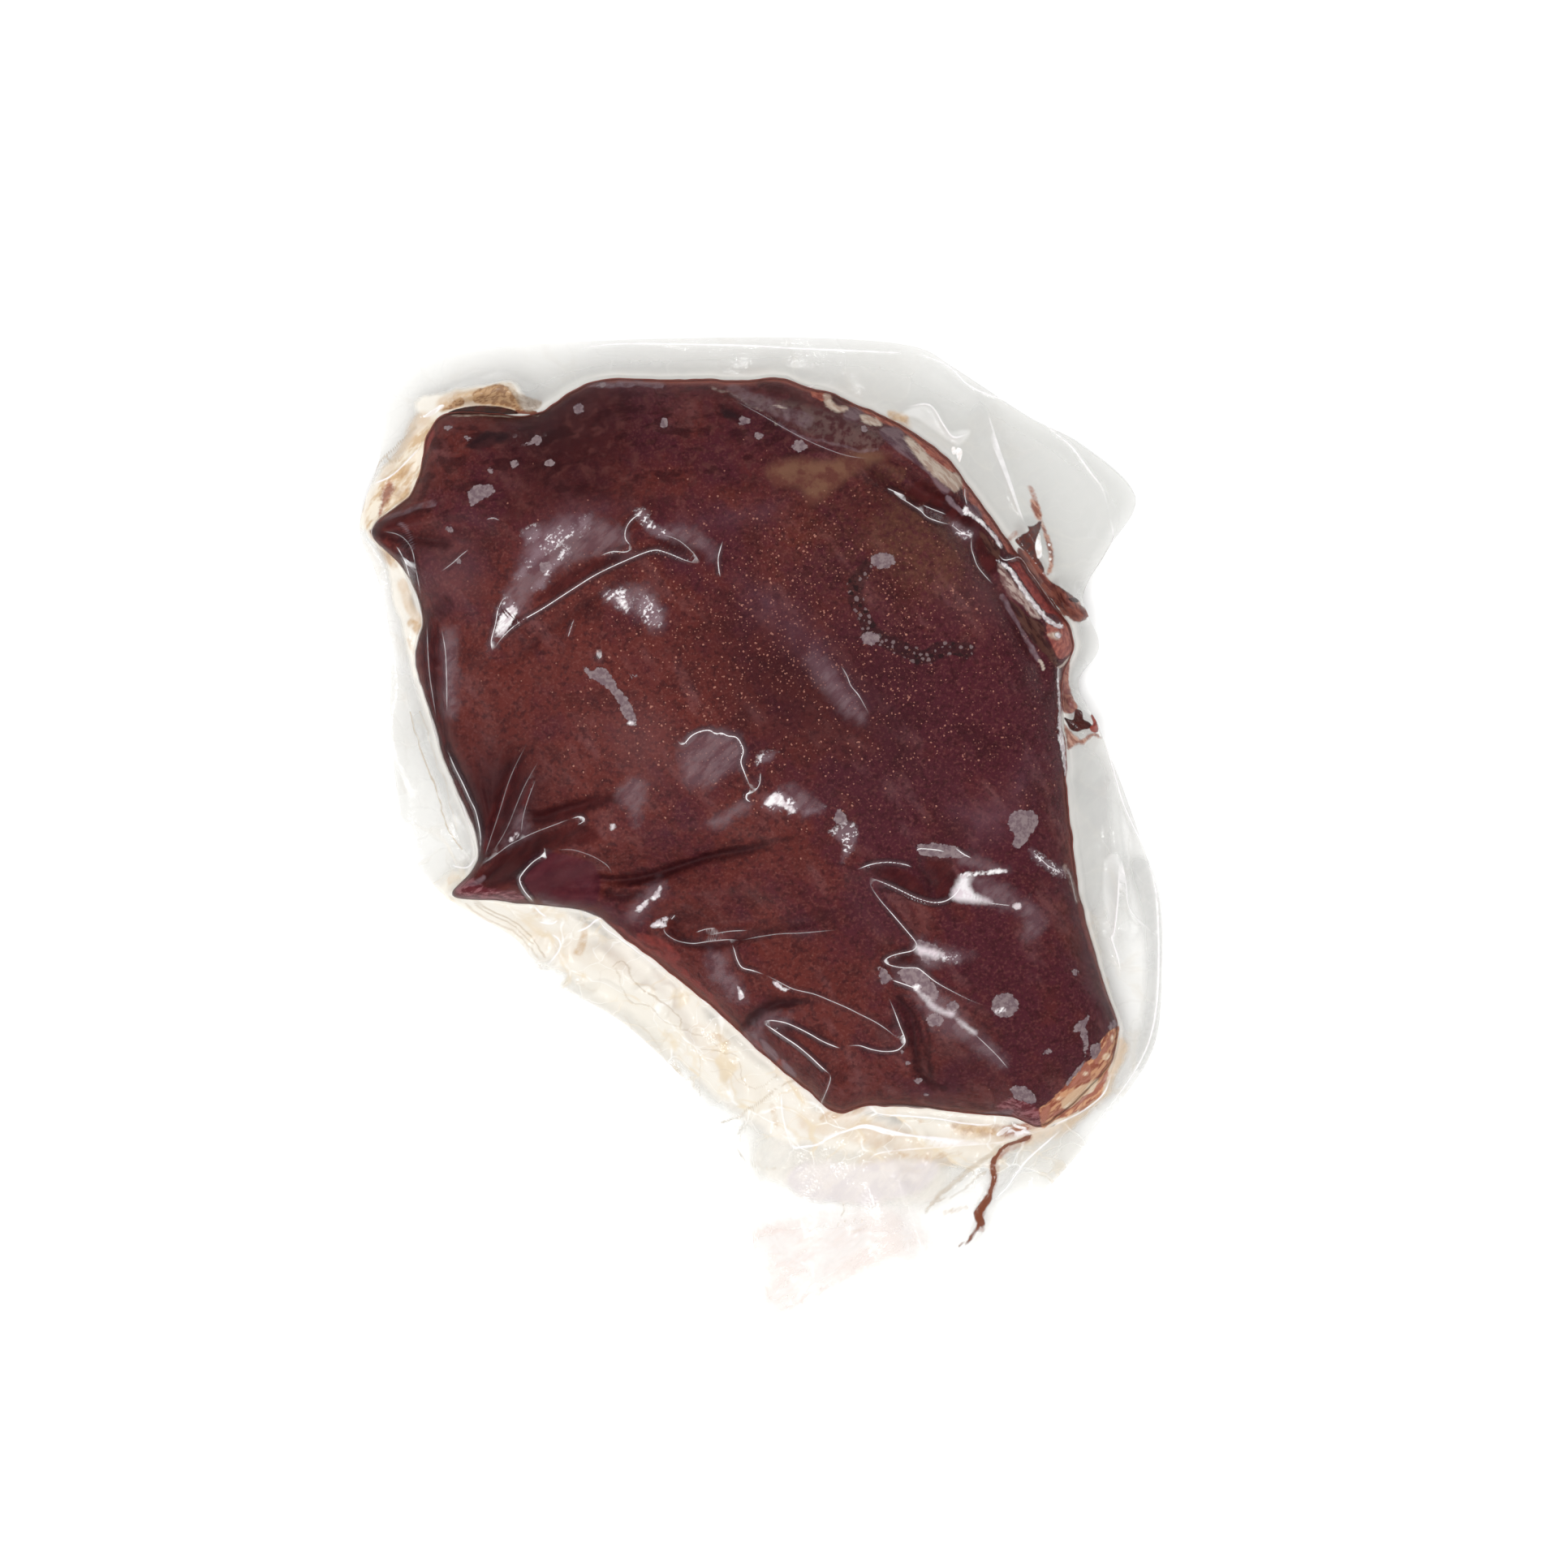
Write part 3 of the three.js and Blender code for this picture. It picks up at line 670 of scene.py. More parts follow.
liverMarks = {                           # line, half width, strength
    # painted shade along dark folds, furrows and slits, and some dark spots of the flesh
    "dark": [
        ([(-81.5, 55.5), (-81, 46), (-80.5, 37), (-78.5, 26), (-75, 17.5), (-71.5, 9.5), (-69, 1),
          (-68, -3.5)], 2.6, 1),
        ([(-81.5, 56), (-77, 58.5)], 3.4, 0.7), ([(-67, 1), (-63, 13.5), (-55, 26)], 1.1, 0.6),
        ([(-63, 4), (-58.5, 15)], 1.4, 0.7), ([(-55, 6.5), (-50.5, 6), (-44, 9), (-34.5, 11.5)], 1.1, 0.8),
        ([(-67, -8.5), (-59.5, -6)], 2.2, 0.9),
        ([(-39, -8.5), (-25, -5.5), (-13.5, -2.5), (-4.5, 0), (8, 2)], 1.1, 0.8),
        ([(-7.5, -21.5), (2, -19.5), (11.5, -17), (23, -15)], 1.4, 0.5),
        ([(-4.5, -45), (-0.5, -41), (4.5, -38.5), (11.5, -37.5)], 1.5, 0.9),
        ([(37, -43.5), (38, -50.5), (39.5, -56), (43.5, -59.5)], 1.1, 0.7),
        ([(34, -39), (36.5, -44), (37, -50)], 0.8, 0.7), ([(38.5, -5.5), (41, -9), (41, -12.5)], 1.4, 0.7),
        ([(43.5, -5.5), (47.5, -9)], 3, 0.4), ([(-71, 99.5), (-64, 100.5)], 1.6, 1),
        ([(-61, 100.5), (-58, 101)], 1, 0.5), ([(-56.5, 101.5), (-46.5, 98.5)], 3, 0.35),
        ([(-72, 94), (-50, 95), (-30, 101), (-8, 103)], 14, 0.25), ([(-88, 62), (-84, 50)], 5, 0.4),
        ([(-95, 77), (-91.5, 76), (-87.9, 75), (-85.5, 71), (-84.9, 65.7)], 1.6, 1),
        ([(-94, 78.5), (-88, 81), (-82, 82)], 1.2, 0.8),
        ([(33.5, -37), (37, -40), (39, -44), (40.5, -50), (42.5, -57), (45, -60)], 0.9, 1),
        ([(37.5, -38), (40.5, -42.5), (41.5, -48), (41, -54)], 0.7, 0.9),
        ([(0, -18.5), (9, -17), (20, -15.5)], 0.9, 0.6), ([(-50, 87), (-38, 90)], 4, 0.4),
        ([(-58, 94), (-56, 90)], 2.5, 0.5), ([(-9.5, 106.5), (-6, 105)], 2.4, 0.9),
        ([(0, 113.5), (4.5, 113.5)], 1.6, 0.7),
        ([(43.5, 85), (47.5, 83), (52.5, 77), (58.5, 69.5), (63, 63)], 1.6, 0.8),
        ([(-53, -12.5), (-42.5, -13.5)], 1.6, 0.5), ([(75, 44.5), (76.5, 36)], 1, 0.6),
        ([(-78, 106.5), (-71, 107), (-62, 107), (-55.5, 106)], 1.2, 1),
    ],
    "rosy": [
        ([(-2, -48.5), (1, -51), (5, -54)], 1.1, 0.6),
        ([(-80.5, 104), (-83, 96.5), (-88, 87), (-93.5, 80)], 1, 0.6),
        ([(56, -67), (63, -67), (68, -65)], 1.4, 0.8),
        ([(-29.5, -22.5), (-25.5, -24), (-21.5, -27.5)], 2.0, 0.5),
        ([(-40, -17.5), (-33.5, -22), (-18, -32), (-8.5, -43)], 1, 0.5),
        ([(76, 12), (77, 0), (79, -14), (82, -26)], 1.6, 0.45),
    ],
    "pale": [
        ([(3, 108), (6, 107.6)], 0.5, 0.5), ([(-11.5, 112.5), (-3, 108.5), (4, 103)], 0.7, 0.35),
        ([(68, 45.7), (69.5, 43)], 0.7, 0.7), ([(73, 44.3), (74.5, 45.3), (76, 47)], 0.5, 0.7),
        ([(-76, 105.6), (-66, 105.4), (-55, 105.2)], 0.5, 0.5), ([(74.5, -5), (78, -13)], 1.2, 0.4),
    ],
    "lilac": [
        ([(4.5, 103.5), (8, 101), (12, 99.5), (16, 98.5), (20, 97.5), (25, 96.5), (28, 96.5)], 0.7, 0.4),
        ([(-42.5, 113), (-33, 113.5), (-24.5, 113.5)], 1.3, 0.5),
        ([(-6, 111.5), (2.5, 107.5), (11, 104)], 3, 0.4),
        ([(59, 61), (61, 58), (63, 55), (65, 51), (66.5, 48), (68, 45.5)], 0.9, 0.6),
        ([(45.5, 84.5), (48, 83), (49.5, 81.5)], 0.8, 0.8),
        ([(-89, 78.5), (-87, 77), (-86, 75), (-85, 73)], 0.8, 0.6),
        ([(-92, 80.5), (-87, 82), (-80, 84)], 1.2, 0.4),
    ],
    "mottled": [
        ([(-76, 92), (-58, 94), (-34, 98), (-12, 101), (4, 100)], 18, 1), ([(-58, 78), (-30, 88)], 12, 0.5),
    ],
    "tan": [
        ([(30, 91.5), (34, 90.5)], 3, 0.4), ([(35.5, 75.5), (41, 70)], 14, 0.35),
    ],
    "froth": [
        ([(25.5, 68), (23, 63.5), (24, 58), (26, 53.5), (30.5, 49.5), (35.5, 47.5), (40, 46), (45.5, 48),
          (50.5, 47.5)], 2.6, 1),
        ([(-63, 99), (-52, 100)], 3, 0.5), ([(36, 93), (22, 86), (12, 80)], 5, 0.35),
    ],
}


def laidOver(paint, base, coats):        # colours of the liver laid over a base where a pattern rises
    for pattern, low, high, most, colour in coats:
        base = paint.mix(paint.band(pattern, low, high) * most, base, liver[colour])
    return base


def roughened(paint, grain, rows):       # painted marks, broken up by the grain
    rough = 0.15 + 1.7 * grain
    return [(paint.field(name) * rough, low, high, most, name) for name, low, high, most in rows]


def liverFlesh():
    paint = Paint("liverFlesh")
    grain = paint.noise(1.6, 4.0, 0.6)
    blotch = (paint.noise(24, 4.0, 0.6) - 0.5) * 2.0 + (paint.streaks(7, 2.5, -50) - 0.5) * 1.4
    blotch = blotch + (paint.noise(10, 5.0, 0.65) - 0.5) * 1.2
    flesh = paint.mix(paint.band(paint.field("warm") + blotch, 0.15, 0.85), liver["purple"], liver["brown"])
    flesh = paint.mix(paint.field("olive") * paint.band(grain, 0.3, 0.7), flesh, liver["olive"])
    tone, mottled = paint.field("tone"), paint.field("mottled")
    flesh = laidOver(paint, flesh, [     # pattern, low, high, most, colour
        (paint.noise(10, 5.0, 0.65), 0.5, 0.68, 0.5, "deep"),
        (paint.streaks(2.4, 3.0, 45), 0.5, 0.7, 0.35, "deep"),
        # painted lilac sheen in streaks
        (paint.streaks(7, 2.5, -50), 0.52, 0.74, 0.3, "sheenHaze"),
        (paint.noise(0.7), 0.5, 0.66, 0.26, "light"),
        (paint.noise(1.2, 4.0), 0.5, 0.66, 0.5, "deep"),
        (paint.noise(2.4, 3.0), 0.5, 0.7, 0.3, "deep"),
        (tone * -1, 0.0, 1.0, 0.8, "deep"),
        (tone, 0.0, 1.0, 0.75, "sheenHaze"),
        (paint.field("rim"), 0.0, 1.0, 0.85, "margin"),
        (paint.noise(2.4, 3.0), 0.5, 0.7, mottled * 0.22, "light"),
        (paint.streaks(3.4, 2.0, 8), 0.5, 0.62, mottled * 0.62, "dark"),
    ])
    crowds = paint.band(paint.noise(10, 5.0, 0.65), 0.3, 0.55)
    for size, radius, most in ((0.9, 0.22, 0.65), (1.4, 0.19, 0.8), (2.4, 0.125, 0.9)):
        dots = paint.cells(size, "Distance") + (paint.noise(0.7) - 0.5) * 0.6
        here = paint.band(paint.field("speckles") * crowds - paint.cells(size, "Color"), 0.0, 0.05)
        tint = paint.mix(paint.noise(2.4, 3.0), liver["speckle"], liver["speckleBright"])
        flesh = paint.mix(paint.band(radius - dots, 0.0, 0.08) * here * most, flesh, tint)
    froth, foamLuck = paint.field("froth"), paint.cells(1.5, "Color")
    foam = paint.cells(1.5, "Distance") + (paint.noise(0.7) - 0.5) * 0.5
    flesh = laidOver(paint, flesh, [(froth * (0.4 + 1.2 * grain), 0.3, 1.0, 0.55, "frothDark")])
    frothy = paint.band(0.62 - 0.5 * foamLuck - foam, 0.0, 0.1)
    frothy = frothy * paint.band(froth * (0.2 + 1.6 * grain), 0.4, 0.8)
    shadeOfFroth = paint.mix(paint.band(foamLuck, 0.25, 0.3), liver["frothDark"], liver["frothGrey"])
    flesh = paint.mix(frothy * 0.8, flesh, shadeOfFroth)
    # painted shade along furrows and dark folds, with the tan and rosy marks of the flesh, broken up by the
    # grain
    flesh = laidOver(paint, flesh, roughened(paint, grain, [
        ("furrow", 0.0, 1.5, 0.8), ("tan", 0.1, 1.0, 0.8),
        ("dark", 0.05, 1.3, 0.8), ("rosy", 0.15, 0.8, 0.9)]))
    for share, colour in patchesOf(paint, {**liverPatches, **cornerPatches}):
        flesh = paint.mix(share, flesh, colour)
    flesh = laidOver(paint, flesh, roughened(paint, grain, [
        ("lilac", 0.1, 0.9, 0.75), ("pale", 0.2, 0.8, 0.9)]))
    sockets = {"Base Color": flesh, "Roughness": 0.5, "Specular IOR Level": 0.1}
    return paint.finish(paint.add("ShaderNodeBsdfPrincipled", None, sockets))


def makeLiver():
    angle, share, quads, border = discGrid(liver["cells"], liver["crowding"])
    spots = spotsAt(angle, inward=share * rimTowards(angle))
    clear = layers["thickness"] + layers["gap"]
    places = [(spots.x, spots.y, liverUpper(spots) + swellOfFilm(spots))]
    rim, faces, ring, count = angle.ravel()[border], [quads], border, angle.size
    for part in liver["bellyShares"]:    # rings of the underside, towards the hub
        place = spotsAt(rim, inward=part * rimTowards(rim))
        places.append((place.x, place.y, filmUnderside(place) + clear))
        inner = count + np.arange(len(rim))
        faces.append(ringQuads(inner, ring))
        ring, count = inner, count + len(rim)
    x, y, z = [np.concatenate([*(np.ravel(place[k]) for place in places), [last]])
               for k, last in enumerate((*hub, clear))]
    loose = wandered(spots, 1.0)
    fields = {name: overLines(marks, loose, markStrength) for name, marks in liverMarks.items()}
    fields["warm"] = 0.55 - x[:-1] / 190 - y[:-1] / 600 + 0.4 * cloudNoise(x[:-1], y[:-1], 38, 5)
    # painted shade along the furrows, softly to their sides
    fields["furrow"] = overLines(furrows, wandered(spots, 0.4), softFade)
    fields.update(patchFields({**liverPatches, **cornerPatches}, spots))
    fields["olive"] = 0.6 * bell(np.hypot((spots.x - 34) / 30, (spots.y - 76) / 18))
    dense = bell(np.hypot((spots.x - 12) / 38, (spots.y - 54) / 28))
    upwards = smoothRamp((spots.y + 10) / 30) * smoothRamp((98 - spots.y) / 34)
    fields["speckles"] = 0.08 + 0.3 * upwards * smoothRamp((spots.x + 75) / 50) + 0.6 * dense
    fields["rim"] = bell(spots.inward / 1.3) * heightTowards(margins, spots.angle)
    fields["tone"] = sum(light * bell(np.hypot(spots.x - atX, spots.y - atY) / reach)
                         for atX, atY, reach, light in tones)
    newPiece("liverLobe", toMetres(x, y, z), np.vstack(faces).tolist() + fanTo(ring, count), fields,
             liverFlesh(), ["liver"])


# The film over the liver.
film = {
    "cells": 305, "crowding": 1.2, "offset": 0.22, "gloss": 0.05, "cling": 0.34, "refraction": 1.55,
    "mostGloss": 0.25, "clingShine": 0.12, "fade": 0.17, "glow": 1.4, "clear": (0.985, 0.985, 0.98, 1.0),
    # The veil colour is painted glow around the crests, the white colour painted highlight lines along them,
    # the shadow colour painted shade beside them.
    "sheenVeil": seen(158, 130, 140), "white": seen(255, 252, 253), "shadow": seen(40, 14, 18),
    # The margin colour is painted over the top film's edge, where it hides the shadow under the liver's rim.
    "margin": seen(150, 76, 66),
}
redness = [                              # direction in degrees, how much rim colour is painted over the film's edge to hide the shadow under the liver's rim
    (0, 0.92), (135, 0.92), (158, 0.15), (214, 0.15), (228, 0.9), (298, 0.9), (308, 0.5), (330, 0.5),
    (342, 0.9), (360, 0.92),
]
creases = [                              # line, width, height, strength of the painted highlight along the crest
    ([(-65.5, 47.5), (-63, 51), (-59, 54.5), (-53, 58), (-46, 62.5), (-40, 66.2), (-33, 69.5), (-26.5, 72),
      (-23, 71.5), (-18, 69.5), (-14.8, 68.8)], 0.9, 0.7, 0.75),
    ([(-65.5, 47.5), (-65.8, 50), (-64.8, 54), (-64, 58), (-62.5, 61)], 0.7, 0.5, 0.6),
    ([(-14.8, 69), (-16.5, 71.5), (-20, 74.5), (-24, 76)], 0.5, 0.3, 0.3),
    ([(-39, 70.8), (-36, 71.8), (-33, 71.6), (-31.3, 72.5)], 0.6, 0.35, 0.6),
    ([(-31.5, 73), (-33, 75), (-32.8, 77.5), (-31.5, 79.5), (-29.5, 81)], 0.6, 0.35, 0.7),
    ([(-9.2, 74.5), (-10.3, 70.5), (-10.2, 67.5), (-9.8, 65.5)], 0.6, 0.35, 0.6),
    ([(-45.5, 55.5), (-46.5, 52.5), (-47, 51)], 0.5, 0.3, 0.5),
    ([(-40, 48), (-39.8, 46), (-39, 45.5), (-38.8, 48)], 0.5, 0.3, 0.45),
    ([(-20.5, 26), (-19.5, 24.8), (-18.5, 25), (-17, 26.7), (-15, 27.8), (-12.5, 28.2), (-11, 27.3),
      (-9.5, 27.5), (-8, 26.8), (-6, 26.5), (-4.8, 25), (-4.2, 23), (-4.8, 20.5), (-4, 18), (-3, 15.5),
      (-2.3, 13.5)], 0.8, 0.6, 1),
    ([(-1.7, 13.3), (-3.3, 12.7), (-3.5, 11.5), (-2.5, 10.7)], 0.5, 0.3, 0.9),
    ([(0, 18), (-0.3, 15), (-1.7, 13)], 0.5, 0.3, 0.5),
    ([(19.5, 44), (21, 41.5), (22, 39), (24, 36.5), (26.5, 32)], 0.5, 0.25, 0.4),
    ([(38, -1.2), (39, -0.7), (43, -1), (45, -1.5)], 0.8, 0.6, 0.9),
    ([(47.5, -0.5), (49.5, -2), (51.5, -3)], 0.8, 0.6, 0.8),
    ([(23.5, -5.8), (27, -4.5), (31, -4), (35, -4.5), (37, -5.2)], 0.8, 0.6, 0.8),
    ([(26.5, -7.7), (30, -9), (34, -10.8), (38, -12.7), (42, -13.8), (45, -13.5), (47, -12.3),
      (48.5, -10.5), (48.8, -8.5)], 0.9, 0.7, 1),
    ([(56, -14), (61, -14.6)], 0.9, 0.4, 0.6),
    ([(26.5, -7.7), (27, -10), (29, -13), (32, -16.5), (35, -20), (37.5, -23), (38, -24.3), (37, -25.5),
      (34, -26.2), (31.5, -27), (30.2, -28.2), (32, -29.2), (35, -29.7), (38, -29.7), (40, -31),
      (42.5, -33), (46, -35), (51, -37.5), (55, -39)], 0.8, 0.6, 0.65),
    ([(32, -32.7), (35, -33.7), (38, -34.8)], 0.8, 0.6, 0.9),
    ([(52, -45.7), (55, -48.5), (58, -51.5), (60.5, -54.5)], 1.6, 0.6, 0.35),
    ([(31, -36.5), (32.5, -40), (34, -44), (35.3, -47.5), (34.5, -49), (33, -50), (30, -50.2), (27, -49.7),
      (24, -48.8), (20.5, -49)], 0.8, 0.6, 0.65),
    ([(-7, -24), (-6.3, -26), (-5.7, -28), (-4.5, -29.8), (-2, -30.5), (1, -31.5)], 0.9, 0.7, 0.7),
    ([(1, -31.5), (4, -33), (8, -35), (13, -36.2), (17, -37.8), (21, -39.5), (24, -41), (28, -43),
      (31, -45), (34, -47.5)], 1.2, 0.8, 0.4),
    ([(-23.6, -20), (-23.7, -21), (-22.5, -22.3), (-20, -23.5), (-16.5, -24), (-13, -23.5), (-8, -23),
      (-5, -23.2)], 1.2, 0.7, 0.4),
    ([(-5, -23.2), (0, -22.2), (5, -21.5), (10, -21.3), (19, -20.5)], 1.2, 0.5, 0.25),
    ([(-16, -21.3), (-13.5, -20.5), (-11, -20.2)], 0.5, 0.3, 0.4),
    ([(0.5, -43), (3, -42.8), (6, -43.3), (9, -44.5), (12, -46), (15, -47.7), (18, -49), (19.5, -49.5)],
      0.8, 0.6, 0.85),
    ([(0.5, -43.5), (3, -45), (6, -47), (9, -49), (12, -51.5), (15, -54.3), (17, -56)], 0.8, 0.7, 1),
    ([(17, -56), (17, -57.5), (16, -60.5), (15, -63), (15, -65)], 0.8, 0.5, 0.4),
    ([(-22, -18.2), (-21, -17)], 0.6, 0.4, 0.6),
    ([(-52.3, -3), (-53.5, -2.6), (-56, -4.2), (-58.3, -6.8), (-59, -8.5), (-58, -11), (-56.5, -13),
      (-55.3, -14.5)], 0.8, 0.7, 1),
    ([(-52.5, -3.3), (-52.8, -1.5), (-53, -0.5)], 0.6, 0.4, 0.6),
    ([(-70, -5.5), (-66, -3), (-62, 0), (-59.5, 1.3), (-56, 3), (-50, 5.3), (-46.5, 6.6)], 1.2, 0.9, 0.3),
    ([(-46.5, 6.6), (-44.5, 7.1), (-43.3, 6.8), (-43.3, 6), (-45, 5)], 0.7, 0.5, 0.6),
    ([(-50, -1), (-46, -1), (-42, -2.2), (-39.5, -3.5), (-37.5, -5), (-36.5, -7)], 0.6, 0.4, 0.2),
    ([(-77.2, 24), (-75.3, 19.5), (-73.3, 15.5), (-71.5, 11.5), (-69.9, 8), (-68.8, 2), (-69.2, -3.3)],
      0.6, 0.5, 0.75),
    ([(-68, -3.3), (-66.5, 1.5), (-64.3, 8), (-61.3, 17), (-56.7, 26)], 0.5, 0.3, 0.16),
    ([(-66.5, -2.6), (-62.4, 4.2), (-58.2, 14), (-54.2, 21)], 0.5, 0.3, 0.14),
    ([(-59, 2.5), (-58.4, 7), (-56.8, 12), (-55, 16.5)], 0.5, 0.3, 0.2),
    ([(-89.4, 73.4), (-88.4, 72), (-87, 69), (-85.8, 64.3), (-84.2, 59), (-83, 55.8)], 0.5, 0.3, 0.8),
    ([(-93, 77.2), (-88.4, 76), (-85.4, 72.4), (-84.2, 66), (-83.4, 61)], 0.5, 0.3, 0.3),
    ([(-78.2, 67), (-75.5, 69), (-73.4, 71), (-71.5, 72.5)], 0.4, 0.2, 0.4),
    ([(-67, 79.7), (-65.4, 80.1), (-63.8, 79.5)], 0.4, 0.2, 0.4),
    ([(-81.9, 55.5), (-81.6, 47), (-81, 40), (-79.6, 31)], 0.5, 0.3, 0.3),
    ([(-78.2, 53), (-77.2, 47.5), (-76.9, 40), (-77, 32)], 0.5, 0.3, 0.4),
    ([(30.8, 87.3), (33, 86.4), (35.3, 85.5)], 0.7, 0.5, 0.9),
    ([(33, 85.5), (36, 83.8), (39, 81.8), (40.5, 80.3), (43, 79.3), (46.5, 78.5)], 0.8, 0.6, 0.9),
    ([(39.5, 83.3), (42, 82.3), (45.5, 81)], 0.5, 0.4, 0.7),
    ([(46.5, 78.7), (48.5, 77), (50.5, 76), (52, 76.3)], 0.8, 0.5, 0.6),
    ([(51.6, 76), (51.5, 73), (52, 71), (53, 68.3), (55, 65.8), (57, 63.8)], 0.6, 0.4, 0.5),
    ([(50, 88), (50, 85.5), (50.5, 83.3)], 0.5, 0.4, 0.5),
    ([(58, 71.5), (59.5, 70), (61.5, 70.2), (63, 70.7), (64.5, 69.7), (66, 67), (68, 64.5), (70, 61.5),
      (72, 58.5), (74, 56.3)], 0.6, 0.4, 0.9),
    ([(54, 85.5), (57, 81.5), (60, 77), (62.3, 72)], 0.5, 0.3, 0.45),
    ([(-7.5, 109.6), (-0.8, 106), (5, 102.5), (10.3, 99.6), (16, 97), (21.4, 95.2), (27, 94.5)],
      0.5, 0.2, 0.2),
    ([(-13, -22), (-8, -21), (-3, -20.7)], 0.5, 0.2, 0.3),
    ([(73, 44), (72.8, 42), (73, 40)], 0.6, 0.4, 0.7),
    ([(25, -64.5), (34, -64.5), (43, -65.5), (50, -68), (55, -68), (60, -67.4), (62, -66.9)],
      0.9, 0.6, 0.9),
    ([(66.5, -1.5), (69, -3.7), (70.5, -5), (74.5, -7)], 0.5, 0.4, 0.6),
    ([(75.3, -5), (76.5, -10), (77.5, -15)], 0.6, 0.4, 0.3),
]
